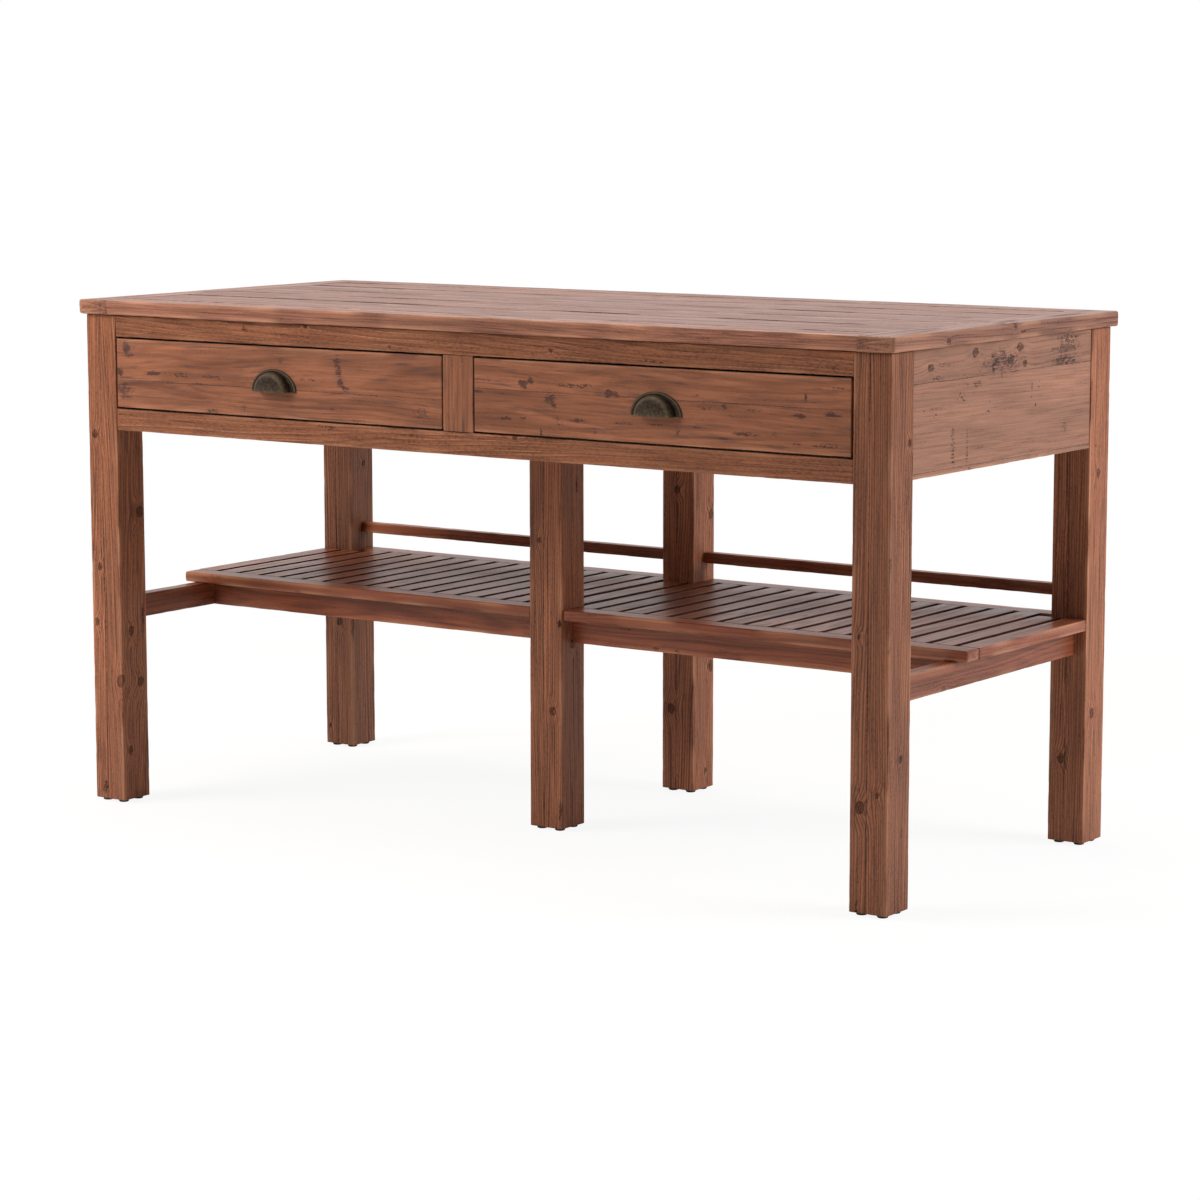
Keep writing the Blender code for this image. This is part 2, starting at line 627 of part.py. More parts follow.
def make_drawer(side, sign):
    """A flush front with its sides let into it, a back between them and a bottom held in grooves."""
    inner = CENTRE_X + SEAT + GUIDE_THICKNESS + SIDE_CLEARANCE
    outer = INNER_X - SEAT - GUIDE_THICKNESS - SIDE_CLEARANCE
    front_low_x, front_high_x = mirrored(sign, STILE_WIDTH / 2 + DRAWER_GAP, INNER_X - DRAWER_GAP)
    low_x, high_x = mirrored(sign, inner, outer)
    centre_x = (front_low_x + front_high_x) / 2
    slide = empty(f"drawer_{side}_slide", (centre_x, FRONT_Y, OPENING_BOTTOM))
    name = f"drawer_{side}"
    side_low = OPENING_BOTTOM + SEAT
    side_high = OPENING_TOP - SIDE_CLEARANCE
    front_back = FRONT_Y + DRAWER_FRONT_THICKNESS
    housing = front_back - HOUSING_DEPTH
    back_y = PANEL_INNER_Y - DRAWER_BACK_ROOM
    groove_low = side_low + BOTTOM_RISE
    groove_high = groove_low + BOTTOM_THICKNESS + 2 * SEAT
    inside_low = low_x + SIDE_THICKNESS
    inside_high = high_x - SIDE_THICKNESS
    past = front_back + SEAT
    cuts = mortises[f"{name}_front"]
    for edge_low, edge_high in ((low_x, inside_low), (inside_high, high_x)):
        near = (edge_low - SEAT, housing - SEAT, side_low - DRAWER_GAP)
        cuts.append((near, (edge_high + SEAT, past, OPENING_TOP)))
    near = (inside_low, front_back - GROOVE_DEPTH - SEAT, groove_low)
    cuts.append((near, (inside_high, past, groove_high)))
    low = (front_low_x, FRONT_Y, OPENING_BOTTOM + DRAWER_GAP)
    high = (front_high_x, front_back, OPENING_TOP - DRAWER_GAP)
    board(f"{name}_front", low, high, "X", "drawer_pine", slide, steps=ROUND_STEPS)
    for hand, wall, inward in (("left", low_x, 1), ("right", high_x, -1)):
        face = wall + inward * SIDE_THICKNESS
        groove = face - inward * (GROOVE_DEPTH + SEAT)
        outline = [(wall, side_low), (face, side_low), (face, groove_low), (groove, groove_low),
                   (groove, groove_high), (face, groove_high), (face, side_high), (wall, side_high)]
        shape = loft([(housing, outline), (back_y, outline)], "Y")
        solid(f"{name}_side_{hand}", shape, (0, 0, 0), "raw_pine", slide)
    low = (inside_low + SEAT, back_y - SIDE_THICKNESS, groove_high)
    board(f"{name}_back", low, (inside_high - SEAT, back_y, side_high - BACK_DROP), "X", "raw_pine", slide)
    low = (inside_low - GROOVE_DEPTH, front_back - GROOVE_DEPTH, groove_low + SEAT)
    high = (inside_high + GROOVE_DEPTH, back_y, groove_high - SEAT)
    board(f"{name}_bottom", low, high, "X", "plywood", slide)
    make_pull(side, centre_x, slide)


def main():
    clear_scene()
    base = empty("island", (0, 0, 0))
    make_top(base)
    make_front(base)
    make_panels(base)
    make_runners(base)
    make_carriers(base)
    make_shelf(base)
    make_legs(base)
    for side, sign in sides():
        make_drawer(side, sign)


main()
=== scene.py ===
"""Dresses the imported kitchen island: stained pine boards, cup pulls, glides and a plain studio.

Every board is a rounded section carried along its run. The growth rings of the log that it was sawn
from are kept as an attribute, so that faces and end grain belong together.
"""

import zlib
from dataclasses import dataclass, field
from functools import partial

import bpy
import numpy as np
from mathutils import Matrix, Vector


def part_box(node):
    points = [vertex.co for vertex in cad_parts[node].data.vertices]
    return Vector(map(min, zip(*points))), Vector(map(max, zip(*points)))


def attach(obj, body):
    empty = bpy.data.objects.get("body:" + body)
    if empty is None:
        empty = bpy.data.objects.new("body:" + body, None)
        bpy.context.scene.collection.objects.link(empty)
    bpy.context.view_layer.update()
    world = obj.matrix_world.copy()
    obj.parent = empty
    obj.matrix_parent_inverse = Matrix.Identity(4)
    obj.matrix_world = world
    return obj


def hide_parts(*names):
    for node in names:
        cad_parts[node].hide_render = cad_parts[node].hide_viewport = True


bl_info = {
    "name": "Kitchen island dress",
    "version": (1, 0, 0),
    "blender": (4, 5, 0),
    "location": "View3D > Sidebar > Island",
    "description": "Stained pine boards, cup pulls, glides and a studio for the kitchen island",
    "category": "Add Mesh",
}

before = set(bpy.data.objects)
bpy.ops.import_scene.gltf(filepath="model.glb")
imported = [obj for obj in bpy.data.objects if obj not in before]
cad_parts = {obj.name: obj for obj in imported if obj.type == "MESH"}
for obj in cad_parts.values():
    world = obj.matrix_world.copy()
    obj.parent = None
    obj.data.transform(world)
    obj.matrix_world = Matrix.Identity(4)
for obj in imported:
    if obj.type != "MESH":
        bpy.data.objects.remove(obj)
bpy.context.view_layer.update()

AXES = "XYZ"
MM = 0.001
SIDES = (("left", -1), ("right", 1))

# Tenons are inside their partners, so the boards that show stop at the shoulders
TENON = 20 * MM
STUB = 12 * MM
GLIDE_HEIGHT = 5 * MM

# The camera stands where the photograph was taken from, with an image of 1200 pixels
IMAGE_PIXELS = 1200.0
FOCAL_PIXELS = 3568.87
SENSOR_WIDTH = 36.0
CAMERA_PLACE = (3.59752, -5.08525, 1.30163)
CAMERA_YAW = 0.6112953
CAMERA_PITCH = 0.1447195
CAMERA_ROLL = -0.00095777

# Points on a rounded corner, rings of points on a board's end, and how far its edge lines lie in
ARC_STEPS = 4
CAP_RINGS = (0.35, 0.65, 0.88)
RIM = 1.0 * MM

# The four ways that the sides of a section face
QUARTERS = np.array([(1.0, 0.0), (0.0, 1.0), (-1.0, 0.0), (0.0, -1.0)])

# Grid lines at a glue line, in half widths of its groove, and at a pit, in radii; a pit belongs to a face
# that lies as near as this
SEAM_LINES = (-1, -0.2, 0.2, 1)
PIT_LINES = np.array([-1, 0, 1])
PIT_NEAR = 3 * MM

# A corner with a smaller radius belongs to a tight joint, which has no wear
TIGHT = 0.5 * MM

# Noise on a board in cells per metre: slow waves, glue lines, rubbed arrises with their painted highlight,
# chips, the coarse and the fine ragged edge of a mark, and then long hollows and torn grain, each along and
# across the grain
WAVE_CELLS = 5
GLUE_CELLS = 9
RUB_AND_HIGHLIGHT_CELLS = 17
CHIP_CELLS = 42
RAGGED_CELLS = (95, 240)
HOLLOW_CELLS = (7, 20)
BITE_CELLS = (110, 260)

# How far from an arris slow waves are full, and how far rubbing with its painted highlight, chips and
# hollows reach; how far stain and painted shade creep in from an end
WAVE_START = 8 * MM
RUB_AND_HIGHLIGHT_REACH = 3.5 * MM
CHIP_REACH = 2.5 * MM
HOLLOW_REACH = 4 * MM
END_REACH = 1.5 * MM

# Large primes, and shifts with factors, that scramble a place in the lattice of the noise
LATTICE_PRIMES = np.array([73856093, 19349663, 83492791])
SCRAMBLES = ((13, 1274126177), (15, 668265263))

# Stains on the drawer fronts: place along and up, half length and half height in mm, and strength
LEFT_DRAWER_STAINS = (
    (-741, 830, 8, 14, 0.85), (-735, 818, 14, 6, 0.55), (-758, 787, 9, 9, 0.95), (-679, 788, 26, 5, 0.76),
    (-618, 787, 26, 5, 0.66), (-541, 787, 28, 4, 0.58), (-571, 774, 14, 3, 0.5), (-748, 756, 20, 18, 0.62),
    (-745, 742, 16, 5, 0.7), (-260, 826, 7, 13, 0.6), (-256, 808, 9, 11, 0.7), (-253, 793, 8, 11, 0.7),
    (-243, 781, 10, 7, 0.75), (-316, 792, 30, 3, 0.6), (-384, 823, 6, 4, 0.5), (-567, 729, 3, 7, 0.6),
    (-542, 726, 16, 5, 0.6), (-470, 737, 7, 5, 0.6), (-271, 745, 8, 3, 0.8), (-74, 748, 16, 16, 0.5),
    (-210, 727, 22, 4, 0.5), (-545, 828, 1, 20, 0.6),
)
RIGHT_DRAWER_STAINS = (
    (137, 803, 11, 11, 1), (150, 812, 8, 7, 0.85), (189, 786, 13, 8, 0.95), (196, 776, 8, 7, 0.8),
    (306, 800, 9, 8, 0.85), (320, 800, 9, 6, 0.75), (40, 791, 10, 4, 0.8), (92, 789, 8, 2, 0.6),
    (99, 749, 16, 5, 0.7), (136, 750, 10, 4, 0.6), (205, 749, 12, 8, 0.5), (244, 752, 22, 4, 0.7),
    (328, 753, 26, 3, 0.6), (44, 810, 30, 4, 0.55), (235, 810, 40, 5, 0.5), (171, 729, 2, 9, 0.9),
    (279, 736, 2, 9, 0.6), (530, 790, 7, 4, 0.7), (473, 806, 12, 3, 0.5), (489, 785, 16, 3, 0.55),
    (579, 787, 22, 3, 0.55), (671, 783, 16, 4, 0.8), (733, 787, 18, 5, 0.7), (547, 775, 18, 3, 0.4),
    (680, 812, 3, 6, 0.9), (568, 749, 24, 4, 0.8), (521, 739, 20, 3, 0.65), (441, 745, 6, 8, 0.6),
    (473, 753, 12, 3, 0.5), (397, 754, 20, 3, 0.5), (623, 755, 6, 6, 0.5), (716, 739, 24, 4, 0.55),
    (665, 738, 12, 3, 0.5), (696, 758, 14, 3, 0.4), (740, 829, 16, 4, 0.45),
)

# The right end panel: knots as place along, place up and radius; gouges and stains as the drawers' stains,
# with a depth for a gouge; worm holes and nail holes as place, radius and depth; all in mm
PANEL_KNOTS = ((-243, 857, 7), (-101, 873, 8), (48, 872, 8), (64, 844, 6))
PANEL_GOUGES = (
    (-15, 853, 62, 20, 0.9), (215, 877, 45, 7, 0.8), (198, 861, 45, 6, 0.8), (205, 839, 48, 8, 0.9),
)
PANEL_STAINS = (
    (-170, 727, 6, 36, 0.42), (-172, 750, 5, 8, 0.5), (-168, 702, 6, 8, 0.5), (-124, 722, 5, 32, 0.38),
    (206, 730, 14, 8, 0.4), (90, 806, 2, 9, 0.9), (-61, 776, 10, 2, 0.6), (-200, 860, 26, 5, 0.45),
    (-222, 838, 20, 6, 0.4), (-117, 689, 5, 4, 0.6), (110, 690, 6, 4, 0.5), (-15, 853, 48, 18, 0.45),
    (14, 856, 12, 14, 0.6), (210, 866, 46, 16, 0.4), (205, 840, 50, 9, 0.45),
)
PANEL_PITS = (
    (-143, 804, 2.2, 1.4), (-150, 808, 1.5, 1.0), (-137, 799, 1.8, 1.2), (-133, 806, 1.2, 0.8),
    (113, 803, 1.6, 1.0), (103, 774, 2.2, 1.4), (-263, 791, 1.8, 1.0), (-225, 783, 1.8, 1.0),
    (88, 788, 1.5, 0.8), (-148, 811, 1.2, 0.8), (-157, 802, 1.1, 0.7), (-137, 809, 1.2, 0.8),
    (-124, 823, 1.3, 0.8), (-52, 790, 1.4, 0.9), (-65, 789, 1.0, 0.6), (-120, 790, 1.1, 0.7),
    (115, 812, 1.1, 0.7), (129, 789, 1.0, 0.6), (-237, 792, 1.1, 0.7), (-231, 779, 1.0, 0.6),
)

# Heights of the glue lines in the panels, in metres
PANEL_SEAMS = (0.694, 0.834)

# Knots on the right edge of the top and on the front's top rail, given as those of the end panel
TOP_EDGE_KNOTS = ((-208, 896, 5), (10, 909, 5))
TOP_RAIL_KNOTS = ((191, 865, 3), (-144, 857, 2.5))

# The legs: how much lighter each is, as painted light and shade for how light falls on it, and its knots in
# mm, on the front face as x, z and radius and on the right face as y, z and radius
LEGS = {
    "leg_front_left": (0.23, ((-821, 672, 6), (-826, 330, 6), (-770, 226, 9), (-815, 432, 5)),
                       ((-315, 219, 8), (-337, 314, 7), (-310, 529, 9), (-345, 96, 6))),
    "leg_front_right": (-0.03, ((784, 174, 8), (817, 198, 4), (781, 444, 4)), ((-326, 250, 5),)),
    "leg_front_middle": (0.08, ((-12, 512, 5), (14, 214, 6)), ((-84, 330, 6),)),
    "leg_back_right": (0.2, ((790, 150, 6),), ((330, 640, 6), (322, 230, 7))),
    "leg_back_left": (-0.27, ((-800, 250, 7),), ((336, 560, 5),)),
    "leg_back_middle": (0.3, ((-16, 156, 8), (-2, 561, 6)), ((354, 514, 6), (353, 232, 8), (340, 38, 4))),
}


def linear(code):
    """An sRGB hex colour as linear red, green, blue and alpha."""
    parts = np.array([int(code[i:i + 2], 16) for i in (0, 2, 4)]) / 255
    curve = np.where(parts <= 0.04045, parts / 12.92, ((parts + 0.055) / 1.055) ** 2.4)
    return (*curve.tolist(), 1.0)


def length_setting(name, description, default):
    """A length that a user can change, in metres."""
    return bpy.props.FloatProperty(name=name, description=description, default=default, min=0.0,
                                   precision=5, unit="LENGTH", subtype="DISTANCE")


def colour_setting(name, description, code):
    """A colour that a user can change, given as sRGB hex."""
    return bpy.props.FloatVectorProperty(name=name, description=description, default=linear(code), size=4,
                                         min=0.0, max=1.0, subtype="COLOR")


class IslandSizes(bpy.types.PropertyGroup):
    """Sizes of the boards' surface and of the pulls."""

    grid: length_setting("Grid", "Spacing of the points on a board", 4 * MM)
    fine_grid: length_setting("Fine grid", "Spacing of the points on a marked board", 2.5 * MM)
    arris: length_setting("Arris", "Radius of a rubbed board edge", 1.3 * MM)
    seam_arris: length_setting("Seam arris", "Radius along the joints in the top", 1.9 * MM)
    top_round: length_setting("Top edge", "Radius of the outer edge of the top", 4 * MM)
    chip: length_setting("Chips", "Depth of the wear along the arrises", 0.35 * MM)
    edge_wear: length_setting("Edge wear", "Depth of the long hollows in the lower edge of the top", 1.2 * MM)
    seam_wear: length_setting("Seam wear", "Depth of the long hollows along the joints in the top", 1.0 * MM)
    sag: length_setting("Unevenness", "Depth of the slow waves left by hand planing", 0.15 * MM)
    seam_depth: length_setting("Glue line", "Depth of the groove at a glued joint", 0.3 * MM)
    seam_width: length_setting("Glue line width", "Half width of the groove at a glued joint", 1.1 * MM)
    pull_wall: length_setting("Pull wall", "Thickness of the cast cup", 1.8 * MM)
    pull_lip: length_setting("Pull lip", "Radius of the bead along the cup's lower edge", 1.2 * MM)


class IslandColours(bpy.types.PropertyGroup):
    """Colours of the finishes."""

    frame_light: colour_setting("Frame, soft wood", "Early wood of the legs and rails", "945c3d")
    frame_dark: colour_setting("Frame, hard wood", "Late wood of the legs and rails", "50291b")
    drawer_light: colour_setting("Drawer, soft wood", "Early wood of the drawer fronts", "905b41")
    drawer_dark: colour_setting("Drawer, hard wood", "Late wood of the drawer fronts", "643b25")
    panel_light: colour_setting("Panel, soft wood", "Early wood of the end and back panels", "8b604a")
    panel_dark: colour_setting("Panel, hard wood", "Late wood of the end and back panels", "63402e")
    top_light: colour_setting("Top, soft wood", "Early wood of the top", "8b5a45")
    top_dark: colour_setting("Top, hard wood", "Late wood of the top", "4c2a1d")
    shelf_light: colour_setting("Shelf, soft wood", "Early wood of the shelf", "814329")
    shelf_dark: colour_setting("Shelf, hard wood", "Late wood of the shelf", "411f13")
    raw_light: colour_setting("Raw pine, soft wood", "Early wood of the parts inside", "c9a478")
    raw_dark: colour_setting("Raw pine, hard wood", "Late wood of the parts inside", "a0764a")
    ply_light: colour_setting("Plywood, light", "Early wood of the drawer bottoms", "cfae84")
    ply_dark: colour_setting("Plywood, dark", "Late wood of the drawer bottoms", "b28d5f")
    smoke: colour_setting("Smoke", "Grey stain that lies in the soft wood", "44291f")
    ink: colour_setting("Ink", "Iron stain round nails and in cracks", "1f1716")
    smear: colour_setting("Smear", "Iron stain on the planed drawer fronts", "46332f")
    # Bruise paints stain and painted shade in the gouges and worm holes of the panels
    hollow_stain_and_shade: colour_setting("Bruise", "Stain in the gouges and worm holes of the panels", "2f2625")
    knot: colour_setting("Knot", "Heart of a knot", "25120a")
    # Worn paints rubbed arrises, and with them a painted arris highlight
    worn: colour_setting("Worn edge", "Ridges and arrises where the stain has rubbed away", "b07c5c")
    bronze: colour_setting("Bronze", "Patina of the pulls", "2c2018")
    # Rubbed bronze paints polish and also painted highlights on the shoulder, the lip and the bead
    rubbed_and_highlit: colour_setting("Rubbed bronze", "Pulls where hands have polished them", "75664f")
    plastic: colour_setting("Glides", "Black polypropylene", "0b0a0a")


@dataclass
class Marks:
    """What a board carries, in metres.

    knots are (x, y, z, radius), stains (x, y, z, half length, half height, strength), pits (x, y, z, radius,
    depth) and scars (x, y, z, half length, half height, depth), with lengths along the grain. The loose ones
    are counts of knots and stains that lie anywhere on the long faces.
    """

    knots: list = field(default_factory=list)
    stains: list = field(default_factory=list)
    pits: list = field(default_factory=list)
    scars: list = field(default_factory=list)
    loose_knots: int = 0
    loose_stains: int = 0


def placed(rows, axis, level):
    """Rows of two places on a face across an axis, then sizes, in mm, as x, y, z and sizes in metres."""
    spots = [np.insert(np.array(row[:2]) * MM, axis, level) for row in rows]
    return [(*spot, *(size * MM for size in row[2:])) for spot, row in zip(spots, rows)]


def stained(rows, axis, level):
    """Rows as for placed, but the last number is a strength."""
    return [(*spot, row[-1]) for spot, row in zip(placed([row[:-1] for row in rows], axis, level), rows)]


def noise(points, seed):
    """Value noise from 0 to 1: random numbers at the corners of a lattice, blended by quintic weights."""
    cell = np.floor(points).astype(np.int64)
    part = points - cell
    blend = part ** 3 * (part * (part * 6 - 15) + 10)
    total = np.zeros(points.shape[:-1])
    for corner in np.ndindex(2, 2, 2):
        mixed = np.bitwise_xor.reduce((cell + np.array(corner)) * LATTICE_PRIMES, axis=-1) ^ seed
        for shift, factor in SCRAMBLES:
            mixed = (mixed ^ mixed >> shift) * factor & 0x7FFFFFFF
        weight = np.prod(np.where(np.array(corner) == 1, blend, 1 - blend), axis=-1)
        total += weight * (mixed >> 11 & 0xFFFF) / 0xFFFF
    return total


def piece_from(name, points, quads, triangles, material, body, nodes=(), attributes=None):
    """Put a surface into the scene as a piece that rides on a body and stands for CAD nodes."""
    mesh = bpy.data.meshes.new(name)
    mesh.vertices.add(len(points))
    mesh.vertices.foreach_set("co", points.astype(np.float32).ravel())
    corners = np.concatenate([quads.ravel(), triangles.ravel()]).astype(np.int32)
    mesh.loops.add(len(corners))
    mesh.loops.foreach_set("vertex_index", corners)
    starts = np.concatenate([np.arange(len(quads)) * 4, quads.size + np.arange(len(triangles)) * 3])
    mesh.polygons.add(len(starts))
    mesh.polygons.foreach_set("loop_start", starts.astype(np.int32))
    mesh.update(calc_edges=True)
    for key, values in (attributes or {}).items():
        vector = values.ndim == 2
        made = mesh.attributes.new(key, "FLOAT_VECTOR" if vector else "FLOAT", "POINT")
        made.data.foreach_set("vector" if vector else "value", values.astype(np.float32).ravel())
    mesh.shade_smooth()
    mesh.materials.append(material)
    piece = bpy.data.objects.new(name, mesh)
    bpy.context.scene.collection.objects.link(piece)
    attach(piece, body)
    if nodes:
        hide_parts(*nodes)
    return piece


def section(width, height, rounds, step, extra):
    """Points round a rectangle with rounded corners, anticlockwise.

    Side k faces k quarter turns from +u and runs a quarter turn further on; extra[k] adds places along
    it. Corner k is the arc from side k to the next. Returns the points, their normals and each
    point's distance from the nearest arris; a corner of a tight joint isn't one.
    """
    halves = np.array([width, height, width, height]) / 2
    off = [0.0 if radius >= TIGHT else 1.0 for radius in rounds]
    spots, normals, edges = [], [], []
    for k, normal in enumerate(QUARTERS):
        along = np.array([-normal[1], normal[0]])
        reach = halves[(k + 1) % 4]
        start, stop = rounds[k - 1] - reach, reach - rounds[k]
        rest = np.linspace(start, stop, max(2, round((stop - start) / step)) + 1)
        places = np.concatenate([rest, [start + RIM, stop - RIM], extra[k]])
        places = np.unique(places[(places >= start) & (places <= stop)].round(5))
        turn = np.linspace(0, np.pi / 2, ARC_STEPS + 1)[1:-1, None]
        facing = np.cos(turn) * normal + np.sin(turn) * along
        centre = normal * (halves[k] - rounds[k]) + along * (reach - rounds[k])
        spots += [normal * halves[k] + places[:, None] * along, centre + rounds[k] * facing]
        normals += [np.tile(normal, (len(places), 1)), facing]
        edges.append(np.minimum(places - start + off[k - 1], stop - places + off[k]))
        edges.append(np.full(len(facing), off[k]))
    return np.concatenate(spots), np.concatenate(normals), np.concatenate(edges)


def closed_tube(rows, columns, flip):
    """Quads between the rows of a grid that closes on itself, and fans to a pole before and after it."""
    index = np.arange(rows * columns).reshape(rows, columns)
    onward = np.roll(index, -1, axis=1)
    quads = np.stack([index[:-1], onward[:-1], onward[1:], index[1:]], -1).reshape(-1, 4)
    first = np.full(columns, rows * columns)
    fans = [np.stack([first, onward[0], index[0]], -1), np.stack([index[-1], onward[-1], first + 1], -1)]
    triangles = np.concatenate(fans)
    return (quads[:, ::-1], triangles[:, ::-1]) if flip else (quads, triangles)


class Board:
    """A rounded section carried along one axis and closed at both ends, as arrays with a row per point.

    points are places in the scene, flat the places in the section, where the distances along the run,
    outward the section's normals, edge the distances from the nearest arris, and on_run is False on the
    closed ends.
    """

    def __init__(self, low, high, run):
        self.low, self.high = np.array(low, float), np.array(high, float)
        self.along = AXES.index(run)
        self.sides = [axis for axis in range(3) if axis != self.along]
        self.extent, self.middle = self.high - self.low, (self.low + self.high) / 2
        self.length = self.extent[self.along]

    def gathered(self, cuts, across, pits, seam):
        """Grid lines that gather at glue lines and pits: places along each side, and along the run."""
        size = self.extent[self.sides]
        by_side = [[], [], [], []]
        for k, facing in enumerate(QUARTERS):
            heading = np.array([-facing[1], facing[0]])
            if heading[across]:
                by_side[k] += [cut * heading[across] + line * seam for cut in cuts for line in SEAM_LINES]
            for *place, radius, _ in pits:
                spot = (np.array(place) - self.middle)[self.sides]
                if abs(spot @ facing - size[k % 2] / 2) < PIT_NEAR:
                    by_side[k] += list(spot @ heading + PIT_LINES * radius)
        by_run = [pit[self.along] - self.low[self.along] + PIT_LINES * pit[3] for pit in pits]
        return by_side, np.concatenate([[], *by_run])

    def carry(self, rounds, end, round_ends, step, by_side, by_run, anchor):
        """Work out the points: rings of the first end, the run with its rounded ends, rings of the last end.

        The ends draw in towards the anchor, a place in the section; a side that it lies on stays straight.
        """
        size, anchor = self.extent[self.sides], np.array(anchor)
        spots, normals, edges = section(*size, rounds, step, by_side)
        curve = end * (1 - np.cos(np.linspace(0, np.pi / 2, ARC_STEPS + 1)))
        plain = np.linspace(end, self.length - end, max(2, round((self.length - 2 * end) / step)) + 1)
        station = np.unique(np.concatenate([curve, plain, self.length - curve, by_run]).round(5))
        nearness = (end - np.minimum(station, self.length - station)).clip(0)
        inset = end - np.sqrt((end ** 2 - nearness ** 2).clip(0))
        rings = len(CAP_RINGS)
        station = np.concatenate([[0] * rings, station, [self.length] * rings])
        inset = np.concatenate([[end] * rings, inset, [end] * rings])
        share = np.concatenate([CAP_RINGS, np.ones(len(station) - 2 * rings), CAP_RINGS[::-1]])
        shrink = share[:, None] * (1 - inset[:, None] / (size / 2 + np.abs(anchor)))
        self.rows, self.columns = len(station), len(spots)
        rings = anchor + (spots - anchor) * shrink[:, None]
        self.flat = np.concatenate([rings.reshape(-1, 2), [anchor, anchor]])
        self.where = np.concatenate([np.repeat(station, self.columns), [0, self.length]])
        self.outward = np.concatenate([np.tile(normals, (self.rows, 1)), np.zeros((2, 2))])
        self.on_run = np.concatenate([np.repeat(share == 1, self.columns), [False, False]])
        self.edge = np.concatenate([np.tile(edges, self.rows), [1, 1]])
        self.from_end = np.minimum(self.where, self.length - self.where)
        if round_ends:
            self.edge = np.minimum(self.edge, np.where(self.on_run, self.from_end, 1))
        self.points = np.empty((len(self.flat), 3))
        self.points[:, self.along] = self.low[self.along] + self.where
        self.points[:, self.sides] = self.middle[self.sides] + self.flat

    def scattered(self, draw, count):
        """Random places on the long faces, wide faces first."""
        places = draw.uniform(self.low, self.high, (count, 3))
        chance = self.extent[self.sides][::-1] / self.extent[self.sides].sum()
        axis = draw.choice(self.sides, count, p=chance)
        places[np.arange(count), axis] = np.where(draw.random(count) < 0.5, self.low[axis], self.high[axis])
        return places

    def by_grain(self, along, across):
        """A number for each axis: one along the grain and another across it."""
        return np.where(np.arange(3) == self.along, along, across)

    def gap(self, place, half_length, half_height):
        """Each point's distance from a place, in half sizes of a mark along and across the grain."""
        return np.linalg.norm((self.points - place) / self.by_grain(half_length, half_height), axis=1)

    def marked(self, marks, draw, seed):
        """Knot, stain and torn grain from 0 to 1, how far knots push the rings out, and the depth gone.

        A mark is full in its middle and fades past its half sizes, and noise breaks its edge: each fade is
        where the edge lies less the distance from the middle, over the edge's softness, all in half sizes.
        A pit is painted dark round its hole, and torn grain in a gouge is painted dark later: stain and
        painted shade in the hollows.
        """
        knots = [*marks.knots]
        for place in self.scattered(draw, marks.loose_knots):
            knots.append((*place, draw.uniform(3, 7) * MM))
        stains = [*marks.stains]
        for place in self.scattered(draw, marks.loose_stains):
            long, tall = draw.uniform(6, 26) * MM, draw.uniform(2, 6) * MM
            stains.append((*place, long, tall, draw.uniform(0.35, 0.8)))
        coarse, fine = (noise(self.points * cells, seed + k) - 0.5 for k, cells in enumerate(RAGGED_CELLS))
        ragged = coarse * 0.9 + fine * 0.6
        knot, stain, torn_and_shaded, push, sunk = np.zeros((5, len(self.points)))
        for *place, long, tall, strength in stains:
            shade = (1.15 - self.gap(place, long, tall) - ragged) / 0.7
            stain = np.maximum(stain, strength * shade.clip(0, 1))
        for *place, radius in knots:
            gap = self.gap(place, 1.35 * radius, radius)
            knot = np.maximum(knot, (1.2 - gap - 0.5 * ragged).clip(0, 1))
            push += radius * np.exp(-(gap / 2.4) ** 2)
        for *place, radius, depth in marks.pits:
            gap = self.gap(place, radius, radius)
            sunk += depth * (1 - gap ** 2).clip(0, 1)
            # A pit is painted dark round its hole: stain and painted shade
            stain = np.maximum(stain, 0.9 * ((1.25 - gap) / 0.4).clip(0, 1))
        bites = noise(self.points * self.by_grain(*BITE_CELLS), seed + 2)
        for *place, long, tall, depth in marks.scars:
            area = ((1.1 - self.gap(place, long, tall) - 0.6 * ragged) / 0.5).clip(0, 1)
            sunk += depth * area * ((bites - 0.42) / 0.2).clip(0, 1)
            torn_and_shaded = np.maximum(torn_and_shaded, area)
        return knot, stain, torn_and_shaded, push, sunk

    def log_place(self, draw, strip, strips, heart, push):
        """Place in the log that each strip was sawn from: along it, then across it from the pith.

        A strip's pith lies `heart` from the middle of the section, or anywhere near it, and leans along
        the run; knots push the rings outward.
        """
        turn = draw.uniform(0, 2 * np.pi, strips)
        pith = np.stack([np.cos(turn), np.sin(turn)], 1) * draw.uniform(45, 105, (strips, 1)) * MM
        if heart is not None:
            pith = np.array(heart) + draw.normal(0, 12 * MM, (strips, 2))
        lean = draw.normal(0, 0.014, (strips, 2))
        log = np.empty_like(self.points)
        log[:, 0] = self.where + draw.uniform(0, 20, strips)[strip]
        log[:, 1:] = self.flat - pith[strip] + lean[strip] * self.where[:, None]
        log[:, 1:] *= 1 + (push / np.linalg.norm(log[:, 1:], axis=1))[:, None]
        return log


